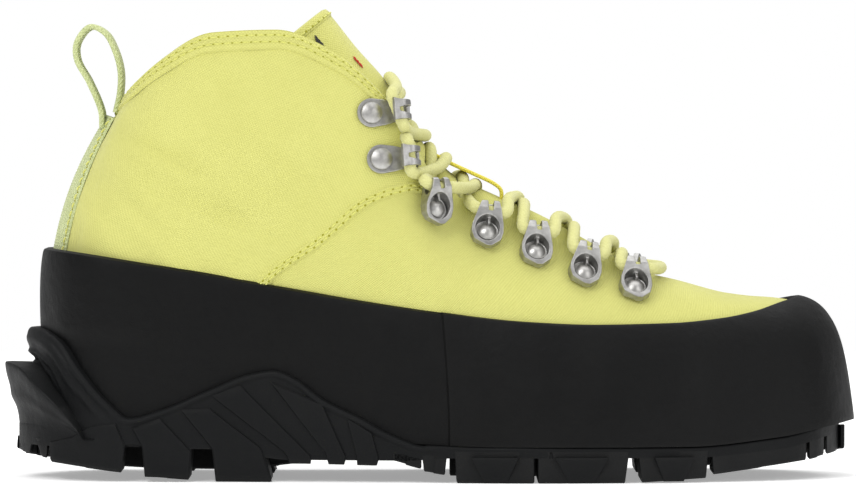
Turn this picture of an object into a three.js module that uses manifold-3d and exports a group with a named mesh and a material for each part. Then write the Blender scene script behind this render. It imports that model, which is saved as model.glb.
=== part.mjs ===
// A right-foot mid-height mountaineering boot: fabric upper, tall rubber rand, lugged outsole, cast lace
// loops and open hooks. Millimetres, +Z up, toe towards +X, the outer (lateral) side towards -Y.
// The origin is on the ground under the middle of the boot.
import * as THREE from "three";
import { mergeVertices } from "three/addons/utils/BufferGeometryUtils.js";
import Module from "manifold-3d";

const wasm = await Module();
wasm.setup();

// ---------------------------------------------------------------- driving dimensions

const GAP = 0.4; // clearance kept between pieces that touch on the real boot
const FABRIC = 1.2; // thickness of the outer canvas
const LINING = [-4.7, -4]; // depth of the ankle lining under the outer surface
const PADDING = [-3.3, -2.2]; // depth of the collar foam and the heel stiffener
const VAMP_LINING = [-5.6, -4.9];
const TOE_STIFFENER = [-3.2, -2.2];
const RAND = [0.9, 3.1]; // height of the rubber rand over the outer surface
const CUP_INNER = RAND[1] + 2 * GAP; // inner face of the outsole's raised edge
const LACE_RADIUS = 1.8;
const LACE_SIDES = 6;
const SHANK_WIDTH = 15;
const FOOTBED_THICKNESS = 4.5;
const ROW_TURN = THREE.MathUtils.degToRad(-3); // slope of the lace loops' tunnels

// The outer surface of the upper is a ring of upright curves. Each station gives one of them, from the
// back of the heel to the toe: foot = [x, lateral y, medial y] where it meets the sole,
// top = [x, lateral y, medial y, z] on the collar, the throat edge or the ridge of the toe,
// hold = [rise, lean, reach, drop], the two handles that shape the curve between them.
const STATIONS = [
  { foot: [-140, 0, 0], top: [-112.5, 0, 0, 140.5], hold: [74, 2.5, 0.62, 27] },
  { foot: [-133, 22, 22], top: [-108, 17, 17, 146], hold: [70, 2, 0.55, 30] },
  { foot: [-113, 34, 34], top: [-97, 28.5, 28, 156], hold: [58, 1.5, 0.45, 36] },
  { foot: [-83, 36, 35], top: [-79, 33.5, 33, 165], hold: [52, 1, 0.38, 44] },
  { foot: [-52, 36, 34], top: [-56, 33.5, 33, 166], hold: [48, 1, 0.35, 46] },
  { foot: [-24, 39, 35], top: [-34, 29.5, 29, 157.5], hold: [45, 1, 0.38, 42] },
  { foot: [0, 42.5, 37.5], top: [-12, 26, 26, 136.5], hold: [42, 1, 0.4, 32] },
  { foot: [20, 46, 41], top: [5, 20, 20, 108.5], hold: [40, 1, 0.45, 20] },
  { foot: [42, 48.5, 45], top: [34, 19, 19, 95.5], hold: [42, 0.5, 0.46, 14] },
  { foot: [64, 48, 48.5], top: [62, 16, 16, 83.5], hold: [38, 0.5, 0.52, 8] },
  { foot: [89, 45, 47], top: [80, 9, 9, 76.5], hold: [36, 0, 0.66, 3] },
  { foot: [111, 38.5, 43.5], top: [90, 0, 0, 73.5], hold: [36, -0.5, 0.72, 0] },
  { foot: [131, 31, 38], top: [104, -1, 1, 68.9], hold: [38, -1, 0.78, 0] },
  { foot: [145.5, 18.5, 27.5], top: [113, -2, 2, 67.2], hold: [40, -1.5, 0.84, 0] },
  { foot: [153.6, -4, 4], top: [117, -3, 3, 66.9], hold: [42, -2, 0.88, 0] },
];
const TOE = STATIONS.length - 1; // ring position of the toe; the ring closes at 2 * TOE

// Heights along the boot, as [x, z] points.
const soleTop = curve([[-150, 20], [-80, 20], [-10, 14], [25, 12.6], [95, 12.6], [128, 15.5], [156, 20.5]]);
const soleUnder = curve([[-150, 13], [-80, 12.5], [-50, 8.5], [-10, 8.5], [15, 9.6], [95, 9.6], [128, 12],
  [156, 17]]);
const boardTop = curve([[-140, 34], [-80, 32], [-10, 23], [30, 20.5], [95, 20.5], [128, 23], [156, 27.5]]);
const randTop = curve([[-143, 84.5], [-95, 78.8], [-55, 71.8], [-16, 65.1], [7, 61.8], [36, 58.6], [63, 57.4],
  [90, 57.8], [108, 59.2], [120, 61.4], [131, 64.6], [140, 66]]);
const cupTop = curve([[-147, 56], [-141, 53.5], [-130, 40], [-119, 29], [-111, 23.5], [-98, 26.6], [-80, 34],
  [-66, 39.4], [-57, 40.9], [-48, 37.8], [-38, 30.6], [-24, 23.6], [-12, 17.2], [0, 13.5]]);
const ledgeTop = curve([[-160, 43.3], [-149, 42.2], [-140, 34], [-131, 22]]);

// How far the outsole stands out from the foot of the upper, by ring position from the heel.
const soleFlare = curve([[0, 12.2], [0.7, 9.5], [1.6, 6.4], [3, 5.6], [6, 5.2], [8, 3.2], [12, 2], [14, 0]]);

// Treads: [x back, x front, z back, z front] of each block's underside, and how far each front edge rakes.
const EDGE_TREADS = [
  { x: [-153.4, -140.5], z: [10.2, 7.8], rake: 0 },
  { x: [-138.5, -112.5], z: [6.5, 3.4], rake: -1 },
  { x: [-104.5, -87], z: [2, 0.8], rake: 1.5 },
  { x: [-78, -57.5], z: [0.2, 0], rake: -2 },
  { x: [-50.8, -42.9], z: [6.7, 6.7], rake: 0 },
  { x: [-36.6, -30.4], z: [6.6, 6.5], rake: 0 },
  { x: [-25.9, -18.9], z: [6.3, 6.2], rake: 0 },
  { x: [-13, -1], z: [7.4, 3.2], rake: 0 },
  { x: [10.4, 38.9], z: [0, 0], rake: 1 },
  { x: [41.2, 72.4], z: [0, 0.1], rake: 0 },
  { x: [77.9, 102], z: [0.3, 1.6], rake: 0 },
  { x: [105, 156], z: [2.9, 10], rake: 0 },
];
const MIDDLE_TREADS = [
  { x: [-128, -101], z: [6, 4.4] },
  { x: [-92, -74], z: [4.2, 4] },
  { x: [-66, -45], z: [4.2, 6] },
  { x: [8, 24], z: [0.4, 0.2] },
  { x: [32, 48], z: [0.2, 0.2] },
  { x: [56, 72], z: [0.2, 0.4] },
  { x: [80, 96], z: [0.8, 1.6] },
  { x: [108, 122], z: [3.6, 5.4] },
];
const TREAD_INNER = 15; // half the gap between the two rows of edge treads
const MIDDLE_TREAD_WIDTH = 17;

// The seam where the ankle quarter meets the vamp: ring position by share of the upright curve.
const seamAt = curve([[0, 2.6], [0.37, 3.62], [0.48, 4.33], [0.6, 5.01], [0.74, 5.91], [0.83, 6.41], [0.94, 6.82],
  [1, 6.95]]);

// The tongue: its crest line seen from the side, from its top edge down to under the vamp.
const TONGUE_CREST = new THREE.CatmullRomCurve3([
  [-39, 174.5], [-27.5, 160.6], [-17, 148], [-8.5, 135.5], [-1.5, 123], [9, 113], [26, 104], [40, 97.8],
  [57, 88.9], [71, 80.3], [83, 70.8], [95, 63.5],
].map(([x, z]) => new THREE.Vector3(x, 0, z)), false, "centripetal");
const tongueWidth = curve([[0, 16.5], [0.35, 16.5], [0.5, 16.5], [0.65, 16.5], [0.8, 13], [1, 9]]);
const tongueWrap = curve([[0, 17], [0.35, 13], [0.5, 15], [0.65, 16], [0.85, 12], [1, 8]]);
const TONGUE_BEND = 0.4; // share of the tongue's length above its bend
const TONGUE_LENGTH = 176;
const TONGUE_SWING = 0.47; // tangent of the angle that the flap can fold back
const TONGUE_FACE = [-FABRIC, 0];
const TONGUE_PAD = [-4.6, -1.7];

// Straps seen from the side, as middle lines of [x, z] points.
const WEBBING = 1.6;
const TAPE_WIDTH = 20;
const KEEPER_WIDTH = 11;
const TAPE_REACH = 0.42; // in ring positions
const PULL_LOOP = [[-119.8, 138.4], [-126, 146.8], [-130.6, 155.3], [-130.3, 161.5], [-125.6, 167],
  [-119.6, 164.6], [-114.8, 157], [-112.8, 150.4], [-113.8, 145.6]];
const LACE_KEEPER = [[10.6, 113.6], [13.4, 117.4], [21, 118.3], [28, 113.9], [30.5, 108.6], [33.5, 103]];
const COLLAR_BAND = { width: 7, reach: 5.2, depth: [0.4, 1] };

// Lace loops and hooks: where each rivet stands, seen from the side, from the toe up to the ankle, and how
// far its plate stands off the bent fabric.
const LOOP_PLACES = [[76.8, 69.3, 0.8], [58.3, 74.9, 0.6], [40.2, 82.5, 0.6], [22, 89.4, 1.6], [4.5, 98.9, 4.6]];
const HOOK_PLACES = [[-17.4, 118.2, 0.6], [-21.1, 135.2, 0.5]];
const HOOK_TURN = THREE.MathUtils.degToRad(-88); // slope of the facing edge at the hooks
const METAL = 1.3; // plate thickness of the loops and hooks
const LOOP = {
  length: [-7, 11], halfWidth: [5.5, 4.3], height: [3.2, 9.4], ring: 4.2, tunnel: [7, 4.3, 2.9], slot: 1,
};
const HOOK = { plate: [-5.2, 9.6], bore: 3.2, tip: 4.6, width: 7.6, notch: 1.1 };
const RIVET = { shank: 1.5, rise: 1.5 };
const LOOP_RIVET = 3.5; // radius of the domed head
const HOOK_RIVET = 4.2;

// The lace: how far it runs straight past each fitting before it turns, and its free parts.
const LACE_STEPS = 150;
const PAST_LOOP = 3.3;
const PAST_HOOK = 5;
const HOOK_SLANT = 0.08; // the lace leans to the throat below each hook, and away from it above
const BAR = [89, 81]; // the lowest strand, across the vamp
const TOP_CROSSING = { x: -12, z: 147 };
const SHOULDER_RISE = 5; // how far a strand bulges over the throat edge
const TAIL = [[-12, 13.5, 146.5], [-17.5, 18, 139], [-23, 18.4, 127], [-27, 18.2, 112]];
const AGLET_LENGTH = 14;
const CROSSING_RISE = [2.9, 7.6]; // height of the two lace strands over the tongue where they cross

// ---------------------------------------------------------------- curves and surfaces

// A smooth function through [x, y] points that never overshoots them, level beyond its ends.
function curve(points) {
  const xs = points.map((p) => p[0]);
  const ys = points.map((p) => p[1]);
  const rise = xs.slice(1).map((x, i) => (ys[i + 1] - ys[i]) / (x - xs[i]));
  const slopes = ys.map((_, i) => {
    if (i === 0 || i === ys.length - 1) return 0;
    return gentler(rise[i - 1], rise[i]);
  });
  return (x) => {
    if (x <= xs[0]) return ys[0];
    if (x >= xs.at(-1)) return ys.at(-1);
    const i = xs.findLastIndex((start) => start <= x);
    const span = xs[i + 1] - xs[i];
    return hermite(ys[i], ys[i + 1], slopes[i] * span, slopes[i + 1] * span, (x - xs[i]) / span);
  };
}

// The slope at a point between two straight runs: level at a turning point, otherwise their harmonic mean.
function gentler(a, b) {
  return a * b <= 0 ? 0 : (2 * a * b) / (a + b);
}

function hermite(y0, y1, m0, m1, f) {
  return (
    y0 * (1 + 2 * f) * (1 - f) ** 2 + m0 * f * (1 - f) ** 2 + y1 * f * f * (3 - 2 * f) + m1 * f * f * (f - 1)
  );
}

// A smooth closed function through one value per station, down the lateral side and back up the medial side.
function ring(pick) {
  const values = [
    ...STATIONS.map((s) => pick(s, 0)),
    ...STATIONS.slice(1, -1).reverse().map((s) => pick(s, 1)),
  ];
  const n = values.length;
  const at = (i) => values[((i % n) + n) % n];
  const slope = (i) => gentler(at(i) - at(i - 1), at(i + 1) - at(i));
  return (t) => {
    const i = Math.floor(t);
    return hermite(at(i), at(i + 1), slope(i), slope(i + 1), t - i);
  };
}

const footX = ring((s) => s.foot[0]);
const footY = ring((s, medial) => (medial ? s.foot[2] : -s.foot[1]));
const topX = ring((s) => s.top[0]);
const topY = ring((s, medial) => (medial ? s.top[2] : -s.top[1]));
const topZ = ring((s) => s.top[3]);
const holds = [0, 1, 2, 3].map((k) => ring((s) => s.hold[k]));

// The level direction away from the boot at ring position t.
function outward(t) {
  const step = 0.01;
  const dx = footX(t + step) - footX(t - step);
  const dy = footY(t + step) - footY(t - step);
  return new THREE.Vector3(dy, -dx, 0).normalize();
}

// A point of the upper's outer surface: t round the ring, v from 0 at the sole to 1 at the top.
function upperPoint(t, v) {
  const foot = new THREE.Vector3(footX(t), footY(t), soleTop(footX(t)));
  const top = new THREE.Vector3(topX(t), topY(t), topZ(t));
  const [rise, lean, reach, drop] = holds.map((hold) => hold(t));
  const low = foot.clone().addScaledVector(outward(t), lean);
  low.z += rise;
  const high = top.clone().lerp(foot, reach);
  high.z = top.z - drop;
  return new THREE.CubicBezierCurve3(foot, low, high, top).getPoint(v);
}

// The same surface with its outward direction.
function upper(t, v) {
  const step = 0.004;
  const near = Math.min(Math.max(v, step), 1 - 3 * step);
  const along = upperPoint(t + step, near).sub(upperPoint(t - step, near));
  const up = upperPoint(t, near + step).sub(upperPoint(t, near - step));
  return { p: upperPoint(t, v), n: along.cross(up).normalize() };
}

// Where a rising function of 0..1 reaches zero.
function solve(f, low = 0, high = 1) {
  for (let i = 0; i < 40; i++) {
    const middle = (low + high) / 2;
    if (f(middle) < 0) low = middle;
    else high = middle;
  }
  return (low + high) / 2;
}

// The share v of the upright curve at t whose height is height(x).
function shareAt(t, height) {
  return solve((v) => {
    const p = upperPoint(t, v);
    return p.z - height(p.x);
  });
}

// The place on one side of the upper whose side view is (x, z).
function sidePlace(x, z, side) {
  const t = solve((t) => upperPoint(t, shareAt(t, () => z)).x - x, 0.5, TOE - 1);
  const ringPlace = side < 0 ? t : 2 * TOE - medialMatch(x, z);
  return upper(ringPlace, shareAt(ringPlace, () => z));
}

function medialMatch(x, z) {
  return solve((t) => upperPoint(2 * TOE - t, shareAt(2 * TOE - t, () => z)).x - x, 0.5, TOE - 1);
}

// ---------------------------------------------------------------- sheets and solids

// A grid of surface points, welded where they meet. place(i, j) gives { p, n } for i, j from 0 to 1.
function sheet(columns, rows, place) {
  const points = [];
  const index = new Map();
  const at = (i, j) => {
    const { p, n, ...more } = place(i / columns, j / rows);
    const key = p.toArray().map((x) => Math.round(x * 500)).join();
    if (!index.has(key)) {
      index.set(key, points.length);
      points.push({ p, n: n.clone(), ...more });
    } else {
      points[index.get(key)].n.add(n);
    }
    return index.get(key);
  };
  const grid = [];
  for (let i = 0; i <= columns; i++) {
    grid.push([]);
    for (let j = 0; j <= rows; j++) grid[i].push(at(i, j));
  }
  points.forEach((point) => point.n.normalize());
  const faces = [];
  for (let i = 0; i < columns; i++) {
    for (let j = 0; j < rows; j++) {
      const [a, b, c, d] = [grid[i][j], grid[i + 1][j], grid[i + 1][j + 1], grid[i][j + 1]];
      if (new Set([a, b, c]).size === 3) faces.push([a, b, c]);
      if (new Set([a, c, d]).size === 3) faces.push([a, c, d]);
    }
  }
  return { points, faces };
}

// A closed solid between two copies of a sheet, placed by outer(point) and inner(point).
function between({ points, faces }, outer, inner) {
  const count = points.length;
  const positions = [...points.map(outer), ...points.map(inner)].flatMap((p) => p.toArray());
  const used = new Set(faces.flatMap(([a, b, c]) => [`${a},${b}`, `${b},${c}`, `${c},${a}`]));
  const triangles = faces.flatMap(([a, b, c]) => [a, b, c, a + count, c + count, b + count]);
  for (const edge of used) {
    const [a, b] = edge.split(",").map(Number);
    if (!used.has(`${b},${a}`)) triangles.push(a, a + count, b + count, a, b + count, b);
  }
  const geometry = new THREE.BufferGeometry();
  geometry.setAttribute("position", new THREE.Float32BufferAttribute(positions, 3));
  geometry.setIndex(triangles);
  return geometry;
}

// A shell that lies between two depths of a sheet, measured along its outward direction.
function shell(surface, [deep, shallow]) {
  const shift = (depth) => ({ p, n }) => p.clone().addScaledVector(n, depth);
  return between(surface, shift(shallow), shift(deep));
}

// A plate inside the sole: its edge is inset from the foot of the upper, its faces follow two heights.
function plate(inset, low, high, from = 0, to = TOE, steps = 18) {
  const surface = sheet(steps, 3, (i, j) => {
    const t = from + (to - from) * i;
    const edge = (ringPlace) =>
      new THREE.Vector3(footX(ringPlace), footY(ringPlace), 0).addScaledVector(outward(ringPlace), -inset);
    return { p: edge(2 * TOE - t).lerp(edge(t), 1 - j), n: new THREE.Vector3(0, 0, 1) };
  });
  const at = (height) => ({ p }) => new THREE.Vector3(p.x, p.y, height(p.x));
  return between(surface, at(high), at(low));
}

function toSolid(geometry, matrix = new THREE.Matrix4()) {
  const bare = geometry.clone().applyMatrix4(matrix);
  bare.deleteAttribute("normal");
  bare.deleteAttribute("uv");
  const merged = mergeVertices(bare, 1e-4);
  return new wasm.Manifold(
    new wasm.Mesh({
      numProp: 3,
      vertProperties: merged.attributes.position.array,
      triVerts: new Uint32Array(merged.index.array),
    }),
  );
}

function toGeometry(solid) {
  const { vertProperties, triVerts } = solid.getMesh();
  const geometry = new THREE.BufferGeometry();
  geometry.setAttribute("position", new THREE.BufferAttribute(vertProperties, 3));
  geometry.setIndex(new THREE.BufferAttribute(triVerts, 1));
  return geometry;
}

// A prism over an outline of [a, b] points.
function prism(outline, depth) {
  const shape = new THREE.Shape(outline.map(([a, b]) => new THREE.Vector2(a, b)));
  return new THREE.ExtrudeGeometry(shape, { depth, bevelEnabled: false });
}

// Turns a prism drawn in (x, y) and extruded along z into one drawn in (x, z) and extruded along y from y0.
function standing(y0, depth) {
  return new THREE.Matrix4().makeBasis(
    new THREE.Vector3(1, 0, 0),
    new THREE.Vector3(0, 0, 1),
    new THREE.Vector3(0, -1, 0),
  ).setPosition(0, y0 + depth, 0);
}

// ---------------------------------------------------------------- materials and the model

const MATERIALS = {
  canvas: { color: 0xe4e67a, roughness: 0.85, metalness: 0 },
  webbing: { color: 0xd6e6a8, roughness: 0.9, metalness: 0 },
  lace: { color: 0xe3e896, roughness: 0.85, metalness: 0 },
  rubber: { color: 0x1f2021, roughness: 0.6, metalness: 0 },
  tread_rubber: { color: 0x26282a, roughness: 0.55, metalness: 0 },
  foam: { color: 0xe8e6c8, roughness: 0.95, metalness: 0 },
  board: { color: 0xc9c4b4, roughness: 0.9, metalness: 0 },
  stiffener: { color: 0xdedcd2, roughness: 0.7, metalness: 0 },
  lining: { color: 0xdfe18c, roughness: 0.95, metalness: 0 },
  aglet: { color: 0xd8dcae, roughness: 0.35, metalness: 0 },
  steel: { color: 0x9a9a96, roughness: 0.35, metalness: 1 },
  cast_metal: { color: 0xb4b0aa, roughness: 0.38, metalness: 1 },
};
const materials = Object.fromEntries(
  Object.entries(MATERIALS).map(([name, look]) => [name, new THREE.MeshStandardMaterial(look)]),
);

const boot = new THREE.Group();

function add(name, material, geometry) {
  const mesh = new THREE.Mesh(geometry, materials[material]);
  mesh.name = name;
  boot.add(mesh);
  return mesh;
}

// ---------------------------------------------------------------- the upper

// A piece of the upper over ring positions from(v)..to(v) and heights low..high, as shares of the curve.
function upperSheet(columns, rows, from, to, low, high) {
  return sheet(columns, rows, (i, j) => {
    const lean = (ringPlace) => low(ringPlace) + (high(ringPlace) - low(ringPlace)) * j;
    const guess = from(0.5) + (to(0.5) - from(0.5)) * i;
    const v = lean(guess);
    const t = from(v) + (to(v) - from(v)) * i;
    return upper(t, lean(t));
  });
}

const top = () => 1;
const boardShare = (t) => shareAt(t, (x) => boardTop(x) + 1);
const mirrored = (f) => (v) => 2 * TOE - f(v);
const SEAM_GAP = 0.04; // in ring positions
const seam = (v) => seamAt(v) + SEAM_GAP;
const beforeSeam = (v) => seamAt(v) - SEAM_GAP;

function addUpper() {
  const backSeam = () => SEAM_GAP / 2;
  add("vamp", "canvas", shell(upperSheet(34, 8, seam, mirrored(seam), boardShare, top), [-FABRIC, 0]));
  const liningSeam = (v) => seam(v) + 0.26;
  const vampLining = upperSheet(34, 8, liningSeam, mirrored(liningSeam), boardShare, () => 0.985);
  add("vamp_lining", "lining", shell(vampLining, VAMP_LINING));
  const lateral = upperSheet(15, 9, backSeam, beforeSeam, boardShare, top);
  const medial = upperSheet(15, 9, mirrored(beforeSeam), mirrored(backSeam), boardShare, top);
  add("quarter_lateral", "canvas", shell(lateral, [-FABRIC, 0]));
  add("quarter_medial", "canvas", shell(medial, [-FABRIC, 0]));
  add("quarter_lining_lateral", "lining", shell(lateral, LINING));
  add("quarter_lining_medial", "lining", shell(medial, LINING));

  const stiffTop = (t) => shareAt(t, (x) => randTop(x) - 4);
  const around = (reach) => [(v) => -reach(v), reach];
  add("heel_counter", "stiffener", shell(upperSheet(18, 5, ...around(() => 2.6), boardShare, stiffTop), PADDING));
  const padReach = (v) => Math.min(4.7, seamAt(v) - 0.3);
  const padLow = (t) => shareAt(t, (x) => randTop(x) + 14);
  const padTop = (t) => shareAt(t, () => topZ(t) - 3);
  add("collar_foam", "foam", shell(upperSheet(22, 7, ...around(padReach), padLow, padTop), PADDING));
  const toe = (reach) => [() => TOE - reach, () => TOE + reach];
  const puffTop = () => 0.93;
  add("toe_puff", "stiffener", shell(upperSheet(14, 7, ...toe(3.1), boardShare, puffTop), TOE_STIFFENER));
}

// The rubber rand: a rear wrap and a front wrap that meet at an upright seam on each side.
function addRand() {
  const seamRing = 6.05;
  const gap = 0.02;
  const low = (t) => shareAt(t, (x) => soleTop(x) + 0.6);
  const high = (t) => shareAt(t, randTop);
  const rear = upperSheet(26, 4, () => -seamRing + gap, () => seamRing - gap, low, high);
  const front = upperSheet(30, 5, () => seamRing + gap, () => 2 * TOE - seamRing - gap, low, high);
  add("rear_rand", "rubber", shell(rear, RAND));
  add("front_rand", "rubber", shell(front, RAND));
}

// ---------------------------------------------------------------- inside the sole

function addSoleInside() {
  const boardUnder = (x) => boardTop(x) - 2;
  const shankUnder = (x) => boardUnder(x) - GAP - 1.2;
  const above = (height, rise) => (x) => height(x) + rise;
  const midsole = toSolid(plate(0.3, above(soleTop, GAP), above(boardUnder, -GAP)));
  const shankLength = [-95, 20];
  const shankOutline = (low, high, halfWidth) => between(
    sheet(8, 1, (i, j) => ({
      p: new THREE.Vector3(
        shankLength[0] + (shankLength[1] - shankLength[0]) * i, halfWidth * (1 - 2 * j), 0),
      n: new THREE.Vector3(0, 0, 1),
    })),
    ({ p }) => new THREE.Vector3(p.x, -p.y, high(p.x)),
    ({ p }) => new THREE.Vector3(p.x, -p.y, low(p.x)),
  );
  const shank = shankOutline(shankUnder, above(boardUnder, -GAP), SHANK_WIDTH / 2);
  const recess = toSolid(shankOutline(above(shankUnder, -GAP), above(boardUnder, 1), SHANK_WIDTH / 2 + GAP))
    .scale([1.01, 1, 1]);
  add("midsole", "foam", toGeometry(midsole.subtract(recess)));
  add("shank", "steel", shank);
  add("insole_board", "board", plate(1.9, boardUnder, above(boardTop, 0)));
  add("footbed", "lining", plate(7, above(boardTop, GAP + 1), above(boardTop, GAP + 1 + FOOTBED_THICKNESS)));
}

// ---------------------------------------------------------------- the outsole

function addOutsole() {
  const steps = 48;
  const outline = [];
  for (let i = 0; i < steps; i++) {
    const t = (2 * TOE * i) / steps;
    const fromHeel = Math.min(t, 2 * TOE - t);
    const p = new THREE.Vector3(footX(t), footY(t), 0).addScaledVector(outward(t), soleFlare(fromHeel));
    outline.push([p.x, p.y]);
  }
  const block = toSolid(prism(outline, 60));
  const xs = Array.from({ length: 22 }, (_, i) => -160 + i * 15.2);
  const halfWidth = 70;
  const side = (points, y0, depth) => toSolid(prism(points, depth), standing(y0, depth));
  const deck = side(
    [...xs.map((x) => [x, soleUnder(x)]), ...xs.toReversed().map((x) => [x, soleTop(x)])],
    -halfWidth, 2 * halfWidth,
  );
  let sole = deck.intersect(block);
  const tread = ({ x: [back, front], z: [zBack, zFront], rake = 0 }, y0, depth) => side(
    [
      [back, zBack], [front, zFront], [front + rake, soleUnder(front) + 1], [back, soleUnder(back) + 1],
    ],
    y0, depth,
  ).intersect(block);
  for (const edge of EDGE_TREADS) {
    sole = sole.add(tread(edge, TREAD_INNER, halfWidth - TREAD_INNER));
    sole = sole.add(tread(edge, -halfWidth, halfWidth - TREAD_INNER));
  }
  for (const middle of MIDDLE_TREADS) {
    sole = sole.add(tread(middle, -MIDDLE_TREAD_WIDTH / 2, MIDDLE_TREAD_WIDTH));
  }
  sole = sole.add(cup(5.9, cupTop, (t) => 5.6 + 2.2 * Math.max(0, 1 - t) ** 2));
  sole = sole.add(cup(2.4, ledgeTop, (t, up) => 6.2 + (5.8 + 4.4 * up) * (1 - t / 2.4) ** 0.6));
  add("outsole", "tread_rubber", toGeometry(sole));
}

// A wall of the outsole's raised edge round the heel, up to height(x) and out to reach(t, up).
function cup(span, height, reach) {
  const low = (t) => shareAt(t, (x) => Math.min(soleTop(x), height(x)) - 1);
  const high = (t) => Math.max(shareAt(t, height), low(t) + 0.004);
  const wall = sheet(28, 3, (i, j) => {
    const t = span * (2 * i - 1);
    const v = low(t) + (high(t) - low(t)) * j;
    return { ...upper(t, v), reach: reach(Math.abs(t), j) };
  });
  const out = (depth) => ({ p, n, reach }) => p.clone().addScaledVector(n, depth ?? reach);
  return toSolid(between(wall, out(), out(CUP_INNER)));
}

// ---------------------------------------------------------------- the tongue

// A point of the tongue's face: a from -1 (lateral edge) to 1 (medial edge), s from its top to its tip.
function tonguePoint(a, s) {
  const crest = TONGUE_CREST.getPoint(s);
  const along = TONGUE_CREST.getTangent(s);
  const forward = new THREE.Vector3(-along.z, 0, along.x); // out of the boot, in its middle plane
  const angle = a * THREE.MathUtils.degToRad(80);
  const radial = forward.clone().multiplyScalar(Math.cos(angle)).add(new THREE.Vector3(0, Math.sin(angle), 0));
  const p = crest.clone().addScaledVector(forward, -tongueWrap(s) * (1 - Math.cos(angle)));
  p.y = tongueWidth(s) * Math.sin(angle);
  return { p, n: radial };
}

function tongueSheet(rows, low, high) {
  return sheet(10, rows, (i, j) => {
    const a = 1 - 2 * i;
    return tonguePoint(a, low(a) + (high(a) - low(a)) * j);
  });
}

function addTongue() {
  const behind = (a) => tongueWrap(TONGUE_BEND) * (1 - Math.cos(a * 1.4));
  const bend = () => TONGUE_BEND;
  const flapEnd = (a) => TONGUE_BEND - (1 + TONGUE_SWING * behind(a)) / TONGUE_LENGTH;
  const flap = tongueSheet(7, () => 0, flapEnd);
  const root = tongueSheet(9, bend, () => 1);
  const binding = 3 / TONGUE_LENGTH;
  add("tongue_flap", "canvas", shell(tongueSheet(7, () => binding, flapEnd), TONGUE_FACE));
  add("tongue_flap_pad", "foam", shell(tongueSheet(7, () => binding, flapEnd), TONGUE_PAD));
  add("tongue_binding", "webbing", shell(tongueSheet(1, () => 0, () => binding - GAP / TONGUE_LENGTH), [-4.6, 0]));
  add("tongue_root", "canvas", shell(root, TONGUE_FACE));
  add("tongue_root_pad", "foam", shell(root, TONGUE_PAD));
}

// ---------------------------------------------------------------- straps and trims

// A flat strap: its middle line in the boot's middle plane as [x, z] points, its width and half thickness.
function strap(points, steps, width, halfThickness) {
  const line = new THREE.CatmullRomCurve3(points.map(([x, z]) => new THREE.Vector3(x, 0, z)), false, "centripetal");
  const surface = sheet(steps, 1, (i, j) => {
    const along = line.getTangentAt(i);
    const p = line.getPointAt(i);
    p.y = width * (0.5 - j);
    return { p, n: new THREE.Vector3(along.z, 0, -along.x) };
  });
  return shell(surface, [-halfThickness, halfThickness]);
}

function addTrims() {
  const half = WEBBING / 2;
  const tapeReach = () => TAPE_REACH;
  const tapeLow = (t) => shareAt(t, (x) => randTop(x) + 1);
  const tapeTop = (t) => shareAt(t, () => topZ(t) - COLLAR_BAND.width - 2);
  const tape = upperSheet(8, 8, () => -TAPE_REACH, tapeReach, tapeLow, tapeTop);
  add("heel_tape", "webbing", shell(tape, [2 * GAP, 2 * GAP + WEBBING]));
  add("pull_loop", "webbing", strap(PULL_LOOP, 26, TAPE_WIDTH - 1, half));
  add("lace_keeper", "webbing", strap(LACE_KEEPER, 12, KEEPER_WIDTH, half));
  const nearTop = (rise) => (t) => shareAt(t, () => topZ(t) - rise);
  const reach = COLLAR_BAND.reach;
  const band = upperSheet(30, 2, () => -reach, () => reach, nearTop(COLLAR_BAND.width), nearTop(1));
  add("collar_band", "canvas", shell(band, COLLAR_BAND.depth));
}

// ---------------------------------------------------------------- metal fittings

// A frame on the upper at side view (x, z): x axis up to the throat, y axis outward, z axis along the row.
function fittingFrame([x, z, lift], side, turn) {
  const { p, n } = sidePlace(x, z, side);
  const row = new THREE.Vector3(Math.cos(turn), 0, Math.sin(turn)).projectOnPlane(n).normalize();
  const up = n.clone().cross(row).multiplyScalar(-side);
  return new THREE.Matrix4().makeBasis(up, n, up.clone().cross(n)).setPosition(p.addScaledVector(n, lift));
}

// A solid extruded across a fitting, from a shape drawn in its (up, outward) plane.
function across(shape, width) {
  const geometry = new THREE.ExtrudeGeometry(shape, { depth: width, bevelEnabled: false, curveSegments: 8 });
  return toSolid(geometry.translate(0, 0, -width / 2));
}

// A solid standing on a fitting's base, from a shape drawn in its (up, row) plane.
function raised(shape, from, to) {
  const geometry = new THREE.ExtrudeGeometry(shape, { depth: to - from, bevelEnabled: false, curveSegments: 6 });
  return toSolid(geometry.rotateX(-Math.PI / 2).translate(0, from, 0));
}

function round(radius, x = 0, y = 0) {
  const shape = new THREE.Shape();
  shape.absarc(x, y, radius, 0, 2 * Math.PI, false);
  return shape;
}

function block(x0, x1, y0, y1) {
  return new THREE.Shape([[x0, y0], [x1, y0], [x1, y1], [x0, y1]].map(([x, y]) => new THREE.Vector2(x, y)));
}

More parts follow.
